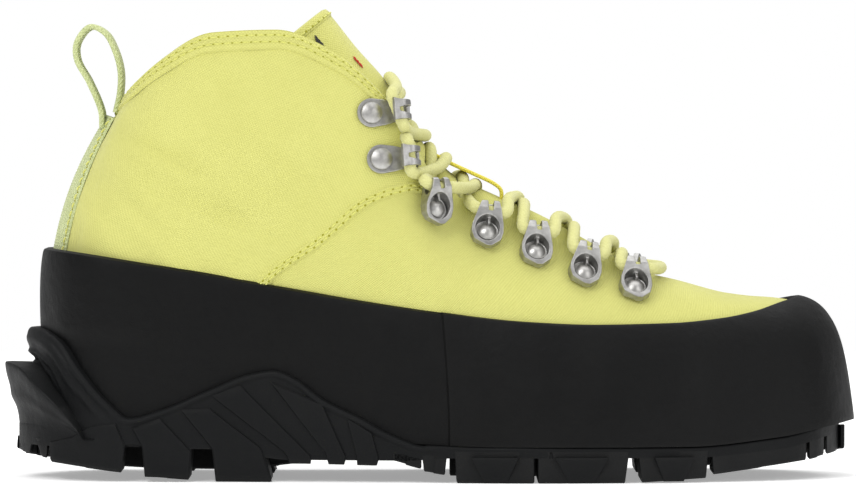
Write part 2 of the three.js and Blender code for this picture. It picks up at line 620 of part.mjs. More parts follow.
// The cast loop: a pear-shaped body, pointed below, with a ring round the rivet, a tunnel across its upper
// half for the lace, and a slot that parts the tunnel's cover into two prongs.
function loopBody() {
  const { length: [low, high], halfWidth: [wide, narrow], height: [lowTop, highTop], ring, tunnel, slot } = LOOP;
  const outline = new THREE.Shape();
  outline.moveTo(low, 0);
  outline.quadraticCurveTo(low + 1.2, -wide, -0.5, -wide);
  outline.lineTo(high, -narrow);
  outline.lineTo(high, narrow);
  outline.lineTo(-0.5, wide);
  outline.quadraticCurveTo(low + 1.2, wide, low, 0);
  const side = new THREE.Shape([[low, 0], [high, 0], [high, highTop - 1.5], [high - 1.5, highTop], [low, lowTop]]
    .map(([x, y]) => new THREE.Vector2(x, y)));
  return raised(outline, 0, highTop)
    .intersect(across(side, 20))
    .subtract(raised(round(ring), METAL, highTop + 1))
    .subtract(across(round(tunnel[2], tunnel[0], tunnel[1]), 20))
    .subtract(raised(block(tunnel[0] - 0.5, high + 1, -slot, slot), tunnel[1], highTop + 1));
}

// The open hook: a plate, round at its rivet, that turns outward and back over itself and is notched in
// the middle of the bend.
function hookBody() {
  const { plate: [back, middle], bore, tip, width, notch } = HOOK;
  const radius = bore + METAL;
  const side = new THREE.Shape();
  side.moveTo(back, 0);
  side.lineTo(middle, 0);
  side.absarc(middle, radius, radius, -Math.PI / 2, Math.PI / 2, false);
  side.lineTo(tip, 2 * radius + 0.6);
  side.lineTo(tip - 0.3, 2 * radius - 0.8);
  side.lineTo(middle, 2 * radius - METAL);
  side.absarc(middle, radius, bore, Math.PI / 2, -Math.PI / 2, true);
  side.lineTo(back, METAL);
  const outline = new THREE.Shape();
  outline.absarc(0, 0, -back, Math.PI / 2, 1.5 * Math.PI, false);
  outline.lineTo(middle + radius + 1, -width / 2);
  outline.lineTo(middle + radius + 1, width / 2);
  return across(side, 20)
    .intersect(raised(outline, -1, 3 * radius))
    .subtract(raised(block(middle + bore - 1, middle + radius + 1, -notch, notch), radius - 1.5, 3 * radius));
}

function rivetShape(head) {
  const { shank, rise } = RIVET;
  const under = METAL + GAP;
  const rim = under + 0.4;
  return new THREE.LatheGeometry([
    [0, 0], [shank, 0], [shank, under], [head, under], [head, rim], [head * 0.7, rim + rise * 0.75], [0, rim + rise],
  ].map(([r, height]) => new THREE.Vector2(r, height)), 12);
}

function addFittings() {
  const hole = raised(round(RIVET.shank + GAP), -1, METAL + 1);
  const bodies = { loop: toGeometry(loopBody().subtract(hole)), hook: toGeometry(hookBody().subtract(hole)) };
  const rivets = { loop: rivetShape(LOOP_RIVET), hook: rivetShape(HOOK_RIVET) };
  for (const [sideName, side] of [["lateral", -1], ["medial", 1]]) {
    fittings(side).forEach((matrix, i) => {
      const isHook = i >= LOOP_PLACES.length;
      const kind = isHook ? "hook" : "loop";
      const number = isHook ? i - LOOP_PLACES.length + 1 : i + 1;
      add(`${kind}_${sideName}_${number}`, "cast_metal", bodies[kind].clone()).applyMatrix4(matrix);
      add(`${kind}_rivet_${sideName}_${number}`, "steel", rivets[kind].clone()).applyMatrix4(matrix);
    });
  }
}

// The frames of one side's fittings, from the toe up: the loops, then the hooks.
function fittings(side) {
  return [
    ...LOOP_PLACES.map((place) => fittingFrame(place, side, ROW_TURN)),
    ...HOOK_PLACES.map((place) => fittingFrame(place, side, HOOK_TURN)),
  ];
}

// ---------------------------------------------------------------- the lace

// The lace's middle line: from the tail at the lateral side, down one side of every crossing to the bar
// across the vamp, and back up the other. At each fitting it runs through the bore along the row.
function laceRoute() {
  const lateral = fittings(-1);
  const medial = fittings(1);
  const count = lateral.length;
  // The two ends and the middle of the bore of fitting i, the toe end first.
  const ends = (side, i) => {
    const matrix = (side < 0 ? lateral : medial)[i];
    const isHook = i >= LOOP_PLACES.length;
    const reach = isHook ? HOOK.width / 2 + PAST_HOOK : LOOP.halfWidth[1] + PAST_LOOP;
    const slant = isHook ? HOOK_SLANT : 0;
    const [up, out] = isHook ? [HOOK.plate[1] - 0.3, HOOK.bore + METAL + 0.95] : LOOP.tunnel;
    return [reach, 0, -reach].map((along) => {
      return new THREE.Vector3(up + along * slant, out, -side * along).applyMatrix4(matrix);
    });
  };
  // The crossing above fitting i, for the strand that rises from the given side.
  const crossing = (i, side) => {
    const from = ends(side, i)[2];
    const to = i + 1 < count ? ends(-side, i + 1)[0] : TOP_CROSSING;
    const over = (i % 2 === 0) === side < 0;
    return overCrest((from.x - from.z + to.x - to.z) / 2, CROSSING_RISE[over ? 1 : 0]);
  };
  const strand = (start) => {
    const points = [];
    for (let i = 0; i < count; i++) {
      const side = i % 2 === 0 ? start : -start;
      const [toeEnd, bore, ankleEnd] = ends(side, i);
      const middle = crossing(i, side);
      if (i > 0) points.push(shoulder(toeEnd, points.at(-1)));
      points.push(toeEnd, bore, ankleEnd, shoulder(ankleEnd, middle), middle);
    }
    const side = count % 2 === 0 ? start : -start;
    TAIL.forEach(([x, y, z]) => points.push(new THREE.Vector3(x, y * side, z)));
    return points;
  };
  const bar = new THREE.Vector3(BAR[0], 0, BAR[1]);
  return [...strand(-1).reverse(), bar, ...strand(1)];
}

// The point over the tongue's crest where x - z has the given value, raised square to the crest.
function overCrest(difference, rise) {
  const share = solve((f) => {
    const p = TONGUE_CREST.getPoint(f);
    return p.x - p.z - difference;
  });
  const along = TONGUE_CREST.getTangent(share);
  return TONGUE_CREST.getPoint(share).add(new THREE.Vector3(-along.z, 0, along.x).multiplyScalar(rise));
}

// Where a strand bulges over the throat edge on its way from a fitting to the crest.
function shoulder(end, middle) {
  const p = end.clone().lerp(middle, 0.38);
  const steep = Math.max(0, end.z - 95) / 40; // the ankle strands bulge forward and sideways as well
  p.y *= 1 + 0.12 * steep;
  return p.add(new THREE.Vector3(2 * steep, 0, 1).multiplyScalar(SHOULDER_RISE));
}

function addLace() {
  const route = new THREE.CatmullRomCurve3(laceRoute(), false, "centripetal");
  const section = new THREE.Shape();
  section.absarc(0, 0, LACE_RADIUS, 0, 2 * Math.PI, false);
  const geometry = new THREE.ExtrudeGeometry(section, {
    steps: LACE_STEPS, extrudePath: route, curveSegments: LACE_SIDES / 2, bevelEnabled: false,
  });
  add("lace", "lace", geometry);
  for (const [sideName, side] of [["lateral", -1], ["medial", 1]]) {
    const [before, end] = TAIL.slice(-2).map(([x, y, z]) => new THREE.Vector3(x, y * side, z));
    const along = end.clone().sub(before).normalize();
    const tip = new THREE.CylinderGeometry(LACE_RADIUS, LACE_RADIUS * 0.8, AGLET_LENGTH, 10);
    tip.applyQuaternion(new THREE.Quaternion().setFromUnitVectors(new THREE.Vector3(0, -1, 0), along));
    const place = end.addScaledVector(along, GAP + AGLET_LENGTH / 2);
    add(`aglet_${sideName}`, "aglet", tip).position.copy(place);
  }
}

addUpper();
addRand();
addSoleInside();
addOutsole();
addTongue();
addTrims();
addFittings();
addLace();

export default boot;
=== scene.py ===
"""A right-foot mid-height mountaineering boot on a pale floor, seen from its outer side."""

import math

import bmesh
import bpy
import numpy as np
from mathutils import Matrix, Vector


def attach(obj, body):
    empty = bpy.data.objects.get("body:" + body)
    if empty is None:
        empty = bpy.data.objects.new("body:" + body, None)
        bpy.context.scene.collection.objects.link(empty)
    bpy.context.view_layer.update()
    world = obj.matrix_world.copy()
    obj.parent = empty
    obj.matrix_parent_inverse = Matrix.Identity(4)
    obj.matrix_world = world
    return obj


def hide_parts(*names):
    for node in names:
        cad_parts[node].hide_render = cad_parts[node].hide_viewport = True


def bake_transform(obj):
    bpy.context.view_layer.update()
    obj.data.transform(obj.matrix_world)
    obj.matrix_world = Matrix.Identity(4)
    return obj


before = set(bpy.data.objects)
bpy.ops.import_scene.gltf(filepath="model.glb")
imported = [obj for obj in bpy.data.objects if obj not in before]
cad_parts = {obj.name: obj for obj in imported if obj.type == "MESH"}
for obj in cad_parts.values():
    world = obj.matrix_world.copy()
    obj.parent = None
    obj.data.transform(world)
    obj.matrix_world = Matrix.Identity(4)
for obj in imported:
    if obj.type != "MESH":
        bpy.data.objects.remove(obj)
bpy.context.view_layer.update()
MM = 0.001
SEED = 7

# --- camera, light and floor

VIEW_WIDTH = 0.3167  # width of the picture at the boot's middle plane
VIEW_CENTRE = Vector((0, -0.02, 0.0869))
VIEW_RISE = math.radians(1.2)
LENS = 260
SENSOR = 36
SKY_LIGHT = 0.45
FLOOR_GLOW = 0.34  # keeps the floor as white as the backdrop away from the boot
LIT_POINT = Vector((0, 0, 0.07))
FLOOR = [(-1.6, -1.6, 0), (1.6, -1.6, 0), (1.6, 1.2, 0), (-1.6, 1.2, 0)]


def new_object(name, data):
    made = bpy.data.objects.new(name, data)
    bpy.context.scene.collection.objects.link(made)
    return made


def facing(direction):
    return direction.to_track_quat("Z", "Y").to_euler()


def make_camera():
    camera = new_object("camera", bpy.data.cameras.new("camera"))
    camera.data.lens, camera.data.sensor_width, camera.data.clip_end = LENS, SENSOR, 50
    back = Vector((0, -math.cos(VIEW_RISE), math.sin(VIEW_RISE)))
    camera.location = VIEW_CENTRE + back * (VIEW_WIDTH * LENS / SENSOR)
    camera.rotation_euler = facing(back)
    bpy.context.scene.camera = camera


def area_light(name, place, size, power):
    light = new_object(name, bpy.data.lights.new(name, "AREA"))
    light.data.shape, light.data.energy = "RECTANGLE", power
    light.data.size, light.data.size_y = size
    light.location = place
    light.rotation_euler = facing(Vector(place) - LIT_POINT)


def make_studio():
    """White backdrop, a white floor, and soft light from above and both front corners."""
    world = bpy.data.worlds.new("studio")
    bpy.context.scene.world = world
    bpy.context.scene.view_settings.view_transform = "Standard"
    world.use_nodes = True
    tree = world.node_tree
    seen = node(tree, "ShaderNodeLightPath").outputs["Is Camera Ray"]
    sky = tree.nodes["Background"].inputs
    plug(tree, (1, 1, 1, 1), sky["Color"])
    plug(tree, spread(tree, seen, 0, 1, SKY_LIGHT, 1), sky["Strength"])
    area_light("key", (-0.75, -1.25, 1.25), (1.0, 0.8), 13)
    area_light("fill", (1.2, -1.1, 0.6), (0.9, 0.9), 5)
    area_light("top", (0.1, 0.25, 1.5), (2.6, 2.0), 25)
    floor = mesh_object("floor", FLOOR, [(0, 1, 2, 3)])
    white = Look("floor", Roughness=0.9, Specular_IOR_Level=0.1, Base_Color=(0.9, 0.9, 0.9, 1),
                 Emission_Color=(1, 1, 1, 1), Emission_Strength=FLOOR_GLOW)
    paint(floor, white.material)


# --- the boot's surface, in millimetres

# The outer surface of the upper is a ring of upright curves, one at each station from the back of the heel
# to the toe: foot (x, lateral y, medial y) at the sole, top (x, lateral y, medial y, z) on the collar, the
# throat edge or the toe's ridge, and hold (rise, lean, reach, drop), the handles of the curve between them.
STATIONS = [
    ((-140, 0, 0), (-112.5, 0, 0, 140.5), (74, 2.5, 0.62, 27)),
    ((-133, 22, 22), (-108, 17, 17, 146), (70, 2, 0.55, 30)),
    ((-113, 34, 34), (-97, 28.5, 28, 156), (58, 1.5, 0.45, 36)),
    ((-83, 36, 35), (-79, 33.5, 33, 165), (52, 1, 0.38, 44)),
    ((-52, 36, 34), (-56, 33.5, 33, 166), (48, 1, 0.35, 46)),
    ((-24, 39, 35), (-34, 29.5, 29, 157.5), (45, 1, 0.38, 42)),
    ((0, 42.5, 37.5), (-12, 26, 26, 136.5), (42, 1, 0.4, 32)),
    ((20, 46, 41), (5, 20, 20, 108.5), (40, 1, 0.45, 20)),
    ((42, 48.5, 45), (34, 19, 19, 95.5), (42, 0.5, 0.46, 14)),
    ((64, 48, 48.5), (62, 16, 16, 83.5), (38, 0.5, 0.52, 8)),
    ((89, 45, 47), (80, 9, 9, 76.5), (36, 0, 0.66, 3)),
    ((111, 38.5, 43.5), (90, 0, 0, 73.5), (36, -0.5, 0.72, 0)),
    ((131, 31, 38), (104, -1, 1, 68.9), (38, -1, 0.78, 0)),
    ((145.5, 18.5, 27.5), (113, -2, 2, 67.2), (40, -1.5, 0.84, 0)),
    ((153.6, -4, 4), (117, -3, 3, 66.9), (42, -2, 0.88, 0)),
]
TOE = len(STATIONS) - 1  # ring position of the toe
RING = 2 * TOE  # where the ring closes


def step_up(f):
    """0 below 0, 1 above 1, and smooth between."""
    f = np.clip(f, 0, 1)
    return f * f * (3 - 2 * f)


def ridge(distance, centre, width):
    return np.exp(-((distance - centre) / width) ** 2)


def gentler(a, b):
    """The slope at a point between two runs: level at a turning point, else their harmonic mean."""
    total = np.where(a * b > 0, a + b, 1)
    return np.where(a * b > 0, 2 * a * b / total, 0)


def hermite(y0, y1, m0, m1, f):
    rest = 1 - f
    return y0 * (1 + 2 * f) * rest**2 + m0 * f * rest**2 + y1 * f * f * (3 - 2 * f) - m1 * f * f * rest


def curve(*points):
    """A smooth function through (x, y) points that never overshoots them, level beyond its ends."""
    xs, ys = np.array(points, float).T
    rise = np.diff(ys) / np.diff(xs)
    slopes = np.zeros(len(xs))
    slopes[1:-1] = gentler(rise[:-1], rise[1:])

    def at(x):
        x = np.clip(x, xs[0], xs[-1])
        i = np.clip(np.searchsorted(xs, x, side="right") - 1, 0, len(xs) - 2)
        span = xs[i + 1] - xs[i]
        return hermite(ys[i], ys[i + 1], slopes[i] * span, slopes[i + 1] * span, (x - xs[i]) / span)

    return at


def ring(lateral, medial):
    """A smooth closed function through the stations' values, down the lateral side and back up."""
    values = np.array(lateral + medial[-2:0:-1], float)
    steps = np.roll(values, -1) - values
    slopes = gentler(np.roll(steps, 1), steps)

    def at(t):
        i = np.floor(t).astype(int)
        a, b = i % len(values), (i + 1) % len(values)
        return hermite(values[a], values[b], slopes[a], slopes[b], t - i)

    return at


def even_ring(pick):
    values = [pick(s) for s in STATIONS]
    return ring(values, values)


foot_x = even_ring(lambda s: s[0][0])
foot_y = ring([-s[0][1] for s in STATIONS], [s[0][2] for s in STATIONS])
top_x = even_ring(lambda s: s[1][0])
top_y = ring([-s[1][1] for s in STATIONS], [s[1][2] for s in STATIONS])
top_z = even_ring(lambda s: s[1][3])
holds = [even_ring(lambda s, k=k: s[2][k]) for k in range(4)]

sole_top = curve((-150, 20), (-80, 20), (-10, 14), (25, 12.6), (95, 12.6), (128, 15.5), (156, 20.5))
sole_under = curve((-150, 13), (-80, 12.5), (-50, 8.5), (-10, 8.5), (15, 9.6), (95, 9.6), (128, 12),
                   (156, 17))
board_top = curve((-140, 34), (-80, 32), (-10, 23), (30, 20.5), (95, 20.5), (128, 23), (156, 27.5))
rand_top = curve((-143, 84.5), (-95, 78.8), (-55, 71.8), (-16, 65.1), (7, 61.8), (36, 58.6), (63, 57.4),
                 (90, 57.8), (108, 59.2), (120, 61.2), (131, 64.1), (140, 65.7))
cup_top = curve((-147, 55.3), (-141, 52.8), (-130, 40), (-119, 29), (-111, 23.5), (-98, 26.6), (-80, 34),
                (-66, 39.4), (-57, 40.9), (-48, 37.8), (-38, 30.6), (-24, 23.6), (-12, 17.2), (0, 13.5))
# How far the sole stands out from the foot, by distance from the heel in ring positions.
sole_flare = curve((0, 12.2), (0.7, 9.5), (1.6, 6.4), (3, 5.6), (6, 5.2), (8, 3.2), (12, 2), (14, 0))
quarter_seam = curve((0, 2.6), (0.37, 3.62), (0.48, 4.33), (0.6, 5.01), (0.74, 5.91), (0.83, 6.41),
                     (0.94, 6.82), (1, 6.95))


def points(x, y, z):
    return np.stack(np.broadcast_arrays(x, y, z), axis=-1).astype(float)


def unit(vectors):
    return vectors / np.maximum(np.linalg.norm(vectors, axis=-1, keepdims=True), 1e-9)


def outward(t):
    """The level direction away from the boot at ring position t."""
    dx = foot_x(t + 0.01) - foot_x(t - 0.01)
    dy = foot_y(t + 0.01) - foot_y(t - 0.01)
    return unit(points(dy, -dx, 0 * dx))


def upper_point(t, v):
    """A point of the upper's outer surface: t round the ring, v from 0 at the sole to 1 at the top."""
    t, v = np.broadcast_arrays(np.asarray(t, float), np.asarray(v, float))
    rise, lean, reach, drop = [hold(t) for hold in holds]
    foot = points(foot_x(t), foot_y(t), sole_top(foot_x(t)))
    top = points(top_x(t), top_y(t), top_z(t))
    low = foot + outward(t) * lean[..., None]
    low[..., 2] += rise
    high = top + (foot - top) * reach[..., None]
    high[..., 2] = top[..., 2] - drop
    f = v[..., None]
    return foot * (1 - f) ** 3 + 3 * low * f * (1 - f) ** 2 + 3 * high * f * f * (1 - f) + top * f**3


def upper(t, v):
    """The same surface with its outward directions."""
    step = 0.004
    near = np.clip(v, step, 1 - 3 * step)
    along = upper_point(t + step, near) - upper_point(t - step, near)
    up = upper_point(t, near + step) - upper_point(t, near - step)
    return upper_point(t, v), unit(np.cross(along, up))


def solve(f, low, high):
    """Where a rising function of arrays reaches zero."""
    for _ in range(32):
        middle = (low + high) / 2
        below = f(middle) < 0
        low, high = np.where(below, middle, low), np.where(below, high, middle)
    return (low + high) / 2


def share_at(t, height):
    """The share v of the upright curve at t whose height is height(x)."""
    def over(v):
        p = upper_point(t, v)
        return p[..., 2] - height(p[..., 0])

    t = np.asarray(t, float)
    return solve(over, 0 * t, 0 * t + 1)


def grid(columns, rows):
    return np.meshgrid(np.linspace(0, 1, columns + 1), np.linspace(0, 1, rows + 1), indexing="ij")


def upper_grid(columns, rows, start, end, low, high):
    """Ring positions and shares over a piece of the upper. Bounds are functions, as in the CAD model."""
    i, j = grid(columns, rows)
    guess = start(0.5 + 0 * i) + (end(0.5 + 0 * i) - start(0.5 + 0 * i)) * i
    v = low(guess) + (high(guess) - low(guess)) * j
    t = start(v) + (end(v) - start(v)) * i
    return t, low(t) + (high(t) - low(t)) * j


def upper_patch(*bounds):
    return upper(*upper_grid(*bounds))


def mirrored(f):
    return lambda v: RING - f(v)


def turned(side):
    """From a position on the lateral side to the same position on a side."""
    return (lambda t: t) if side < 0 else (lambda t: RING - t)


def level(value):
    return lambda v: value + 0 * v


def foot_sheet(columns, rows, margin, reach):
    """A level sheet between the foot's two sides, as far past its outline as reach says."""
    i, j = grid(columns, rows)
    t = TOE * (margin + (1 - 2 * margin) * i)
    edges = [points(foot_x(r), foot_y(r), 0 * r) + outward(r) * reach(t)[..., None] for r in (t, RING - t)]
    return edges[0] * (1 - j[..., None]) + edges[1] * j[..., None]


# --- meshes


def mesh_object(name, vertices, faces, uv=None, smooth=35):
    """A mesh from points in metres. A face that names a point twice is a triangle. smooth is the angle in
    degrees above which an edge stays sharp."""
    mesh = bpy.data.meshes.new(name)
    mesh.from_pydata([tuple(p) for p in vertices], [], [tuple(dict.fromkeys(f)) for f in faces])
    if uv is not None:
        layer = mesh.uv_layers.new(name="UVMap")
        index = np.zeros(len(mesh.loops), int)
        mesh.loops.foreach_get("vertex_index", index)
        layer.data.foreach_set("uv", np.asarray(uv, float)[index].ravel())
    mesh.shade_smooth()
    mesh.set_sharp_from_angle(angle=math.radians(smooth))
    return new_object(name, mesh)


def paint(piece, material):
    piece.data.materials.clear()
    piece.data.materials.append(material)


def dress(piece, material, slot, body, *stands_for, fill=None):
    """Gives a piece its material and body, and hides the CAD pieces it stands for. fill is not used."""
    paint(piece, material)
    if body:
        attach(piece, body)
    if stands_for:
        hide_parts(*stands_for)
    return piece


def lengths(p, axis=0):
    """Running length along one axis of a line or a grid of points."""
    steps = np.linalg.norm(np.diff(p, axis=axis), axis=-1)
    return np.concatenate([np.zeros_like(steps.take([0], axis)), steps.cumsum(axis)], axis)


def from_ends(p, axis):
    """Distance to the nearer end of each of a grid's lines along one axis."""
    run = lengths(p, axis)
    return np.minimum(run, run.take([-1], axis) - run)


def places_along(p, run, places):
    """A line's points at some running lengths."""
    return np.stack([np.interp(places, run, p[:, k]) for k in range(p.shape[1])], 1)


class Shape:
    """Closed bodies gathered into one mesh, in millimetres, each turned to face outward."""

    def __init__(self):
        self.vertices, self.faces, self.uv, self.count = [], [], [], 0

    def add(self, vertices, faces, uv=None):
        vertices, faces = np.asarray(vertices, float).reshape(-1, 3), np.asarray(faces, int)
        a, b, c = [vertices[faces[:, k]] - vertices.mean(0) for k in range(3)]
        d = vertices[faces[:, 3]] - vertices.mean(0)
        volume = np.einsum("ij,ij->", a, np.cross(b, c)) + np.einsum("ij,ij->", a, np.cross(c, d))
        self.faces.append((faces if volume > 0 else faces[:, ::-1]) + self.count)
        self.vertices.append(vertices)
        self.uv.append(np.zeros((len(vertices), 2)) if uv is None else np.asarray(uv).reshape(-1, 2))
        self.count += len(vertices)
        return self

    def make(self, name, smooth=35):
        vertices = np.concatenate(self.vertices) * MM
        return mesh_object(name, vertices, np.concatenate(self.faces), np.concatenate(self.uv) * MM, smooth)


def grid_faces(index, wrap_i=False, wrap_j=False):
    a = index if wrap_i else index[:-1]
    b = np.roll(index, -1, 0) if wrap_i else index[1:]
    if wrap_j:
        return np.stack([a, b, np.roll(b, -1, 1), np.roll(a, -1, 1)], -1).reshape(-1, 4)
    return np.stack([a[:, :-1], b[:, :-1], b[:, 1:], a[:, 1:]], -1).reshape(-1, 4)


def skin_parts(p, n, deep, shallow, wrap=False):
    """A closed shell over a grid of points, between two depths along its outward directions."""
    columns, rows = p.shape[0], p.shape[1]
    outer = p + n * (shallow + np.zeros((columns, rows)))[..., None]
    inner = p + n * (deep + np.zeros((columns, rows)))[..., None]
    near = np.arange(columns * rows).reshape(columns, rows)
    far = near + columns * rows
    rims = [np.stack([near[:, 0], far[:, 0]], 1)[:, ::-1], np.stack([near[:, -1], far[:, -1]], 1)]
    faces = [grid_faces(near, wrap), grid_faces(far, wrap)[:, ::-1]]
    faces += [grid_faces(rim, wrap) for rim in rims]
    if not wrap:
        faces.append(grid_faces(np.stack([near[0], far[0]], 0)))
        faces.append(grid_faces(np.stack([far[-1], near[-1]], 0)))
    u, w = lengths(outer, 0), lengths(outer, 1)
    uv = np.stack([u - u[columns // 2], w], -1).reshape(-1, 2)
    vertices = np.concatenate([outer.reshape(-1, 3), inner.reshape(-1, 3)])
    return vertices, np.concatenate(faces), np.concatenate([uv, uv])


def skin(name, p, n, deep, shallow, wrap=False):
    return Shape().add(*skin_parts(p, n, deep, shallow, wrap)).make(name)


FILLING_FRAMES = 20
CLOTH = {"quality": 6, "mass": 0.02, "bending_stiffness": 0.3, "use_pressure": True,
         "uniform_pressure_force": 4, "vertex_group_mass": "sewn"}


def filling_moves(vertices, faces, sewn, cap):
    """How far each vertex of a cover moves when its filling swells it, in millimetres. sewn ones stay."""
    cover = mesh_object("cover", vertices * MM, faces)
    cover.vertex_groups.new(name="sewn").add([int(k) for k in np.flatnonzero(sewn)], 1, "REPLACE")
    cloth = cover.modifiers.new("cloth", "CLOTH")
    for key, value in CLOTH.items():
        setattr(cloth.settings, key, value)
    cloth.settings.effector_weights.gravity = 0
    cloth.point_cache.frame_start, cloth.point_cache.frame_end = 1, FILLING_FRAMES
    for step in range(1, FILLING_FRAMES + 1):
        bpy.context.scene.frame_set(step)
    swollen = cover.evaluated_get(bpy.context.evaluated_depsgraph_get()).data
    places = np.zeros(len(vertices) * 3)
    swollen.vertices.foreach_get("co", places)
    bpy.context.scene.frame_set(1)
    bpy.data.objects.remove(cover)
    moves = np.nan_to_num(places.reshape(-1, 3) / MM - vertices)
    return moves * np.minimum(1, cap / np.maximum(np.linalg.norm(moves, axis=1), 1e-6))[:, None]


def finer(values, rows, columns, shape):
    """Values known at some rows and columns of a grid, spread evenly over all of it."""
    half = np.stack([np.interp(np.arange(shape[1]), columns, line) for line in values])
    return np.stack([np.interp(np.arange(shape[0]), rows, line) for line in half.T], 1)


def filled(p, n, deep, shallow, cap=1.1, spacing=5):
    """The two faces' depths of a padded piece sewn round its rim, after a cloth simulation of its cover."""
    deep, shallow = deep + np.zeros(p.shape[:2]), shallow + np.zeros(p.shape[:2])
    picks = []
    for axis, size in enumerate(deep.shape):
        count = max(4, int(lengths(p, axis).max() / spacing))
        picks.append(np.unique(np.linspace(0, size - 1, count).round().astype(int)))
    pick = np.ix_(*picks)
    vertices, faces, _ = skin_parts(p[pick], n[pick], deep[pick], shallow[pick])
    inside = np.zeros((len(picks[0]), len(picks[1])), bool)
    inside[1:-1, 1:-1] = True
    moves = filling_moves(vertices, faces, ~np.tile(inside.ravel(), 2), cap)
    out, back = (moves.reshape(2, *inside.shape, 3) * n[pick]).sum(-1)
    return deep + finer(back, *picks, deep.shape), shallow + finer(out, *picks, deep.shape)


def sweep_parts(rings):
    """A closed body through a row of rings, shaped (rings, points, 3), capped at both ends."""
    count, around = rings.shape[:2]
    index = np.arange(count * around).reshape(count, around)
    faces = [grid_faces(index, wrap_j=True)]
    vertices = [rings.reshape(-1, 3)]
    for end, ring_index in ((0, index[0]), (1, index[-1])):
        middle = np.full(around, count * around + end)
        vertices.append(rings[-end].mean(0)[None])
        fan = np.stack([ring_index, np.roll(ring_index, -1), middle, middle], -1)
        faces.append(fan[:, ::-1] if end == 0 else fan)
    run, round_it = lengths(rings.mean(1)), lengths(rings[0])
    uv = np.stack(np.broadcast_arrays(run[:, None], round_it[None]), -1).reshape(-1, 2)
    return np.concatenate(vertices), np.concatenate(faces), np.concatenate([uv, uv[[0, -1]]])


def rounded_bar(width, thickness, corner=0.7, steps=14):
    """The section of a strap: a flat bar with rounded edges, as (across, through) points."""
    across = np.linspace(-0.5, 0.5, steps) * (width - 2 * corner)
    half = thickness / 2
    turn = np.linspace(-math.pi / 2, math.pi / 2, 7)[1:-1]
    edge = np.stack([width / 2 - corner + corner * np.cos(turn), half * np.sin(turn)], 1)
    low = np.stack([across, np.full(steps, -half)], 1)
    return np.concatenate([low, edge, -low, -edge])


def rounded_edge(distance, radius, drop):
    """How much lower a face lies near its edge: drop at the edge, none past the radius."""
    f = np.clip(1 - distance / radius, 0, 1)
    return drop * (1 - np.sqrt(1 - f * f))


def edge_distance(p):
    """Distance from each grid point to the nearest of the grid's four edges."""
    return np.minimum(from_ends(p, 0), from_ends(p, 1))


def ripple(p, size, amount):
    """A slow, seeded unevenness for fabric, from a few crossing waves."""
    rng = np.random.default_rng(SEED)
    total = np.zeros(p.shape[:-1])
    for _ in range(7):
        wave = unit(rng.normal(size=3)) * 2 * math.pi / (size * rng.uniform(0.6, 1.6))
        total += np.sin(p @ wave + rng.uniform(0, 6.3))
    return total / 7 * 2 * amount


# --- materials


def plug(tree, value, socket):
    if isinstance(value, bpy.types.NodeSocket):
        tree.links.new(value, socket)
    else:
        socket.default_value = value


def node(tree, kind, inputs=None, **settings):
    made = tree.nodes.new(kind)
    for name, value in settings.items():
        setattr(made, name, value)
    for key, value in (inputs or {}).items():
        plug(tree, value, made.inputs[key])
    return made


def spread(tree, value, low, high, to_low=0.0, to_high=1.0):
    inputs = {"Value": value, "From Min": low, "From Max": high, "To Min": to_low, "To Max": to_high}
    return node(tree, "ShaderNodeMapRange", inputs).outputs["Result"]


class Look:
    """A material being made: its shader's inputs, and short names for the nodes that feed them."""

    def __init__(self, name, **shader):
        self.material = bpy.data.materials.new(name)
        self.material.use_nodes = True
        self.tree = self.material.node_tree
        self.set(**shader)

    def set(self, **shader):
        for key, value in shader.items():
            plug(self.tree, value, self.tree.nodes["Principled BSDF"].inputs[key.replace("_", " ")])

    def coords(self, kind="Object"):
        return node(self.tree, "ShaderNodeTexCoord").outputs[kind]

    def pointiness(self):
        return node(self.tree, "ShaderNodeNewGeometry").outputs["Pointiness"]

    def maths(self, operation, a, b=0.0, c=0.0):
        return node(self.tree, "ShaderNodeMath", {0: a, 1: b, 2: c}, operation=operation).outputs[0]

    def noise(self, scale, detail=3.0, vector=None, roughness=0.5):
        inputs = {"Scale": scale, "Detail": detail, "Roughness": roughness, "Vector": vector or self.coords()}
        return node(self.tree, "ShaderNodeTexNoise", inputs).outputs["Fac"]

    def spread(self, *values):
        return spread(self.tree, *values)

    def mix(self, factor, a, b):
        inputs = {0: factor, 6: (*a, 1), 7: (*b, 1)}
        return node(self.tree, "ShaderNodeMix", inputs, data_type="RGBA").outputs[2]

    def bump(self, height, distance, strength=1.0):
        inputs = {"Height": height, "Distance": distance, "Strength": strength}
        self.set(Normal=node(self.tree, "ShaderNodeBump", inputs).outputs[0])


def woven_material(name, dark, light, thread, depth, slub=0.35):
    """Plain-woven cloth, darker where its threads lie low as painted shade. thread is the spacing of its
    threads in metres, taken along the piece's UV map.
    """
    look = Look(name, Roughness=0.82, Specular_IOR_Level=0.25, Sheen_Weight=0.25, Sheen_Roughness=0.4)
    uv = look.coords("UV")
    axes = node(look.tree, "ShaderNodeSeparateXYZ", {0: uv}).outputs
    weave = look.maths("MULTIPLY", *[
        look.maths("SINE", look.maths("MULTIPLY", axes[k], math.pi / thread)) for k in (0, 1)])
    stretched = [node(look.tree, "ShaderNodeMapping", {"Vector": uv, "Scale": scale}).outputs[0]
                 for scale in ((0.12, 1, 1), (1, 0.12, 1))]
    slubs = look.maths("ADD", *[look.noise(1 / thread, 2, v) for v in stretched])
    uneven = look.maths("MULTIPLY_ADD", slubs, slub, -slub)
    # The colour rises with the weave's height: painted shade where the threads lie low and lighter where they
    # stand up. The slubs and blotches add the yarn's own uneven tone.
    shade = look.maths("ADD", look.spread(weave, -1, 1, 0.25, 0.7), uneven)
    blotch = look.spread(look.noise(45, 4), 0.3, 0.7, -0.06, 0.06)
    look.set(Base_Color=look.mix(look.maths("ADD", shade, blotch), dark, light))
    look.bump(look.maths("ADD", weave, look.maths("MULTIPLY", slubs, 0.6)), depth)
    return look.material


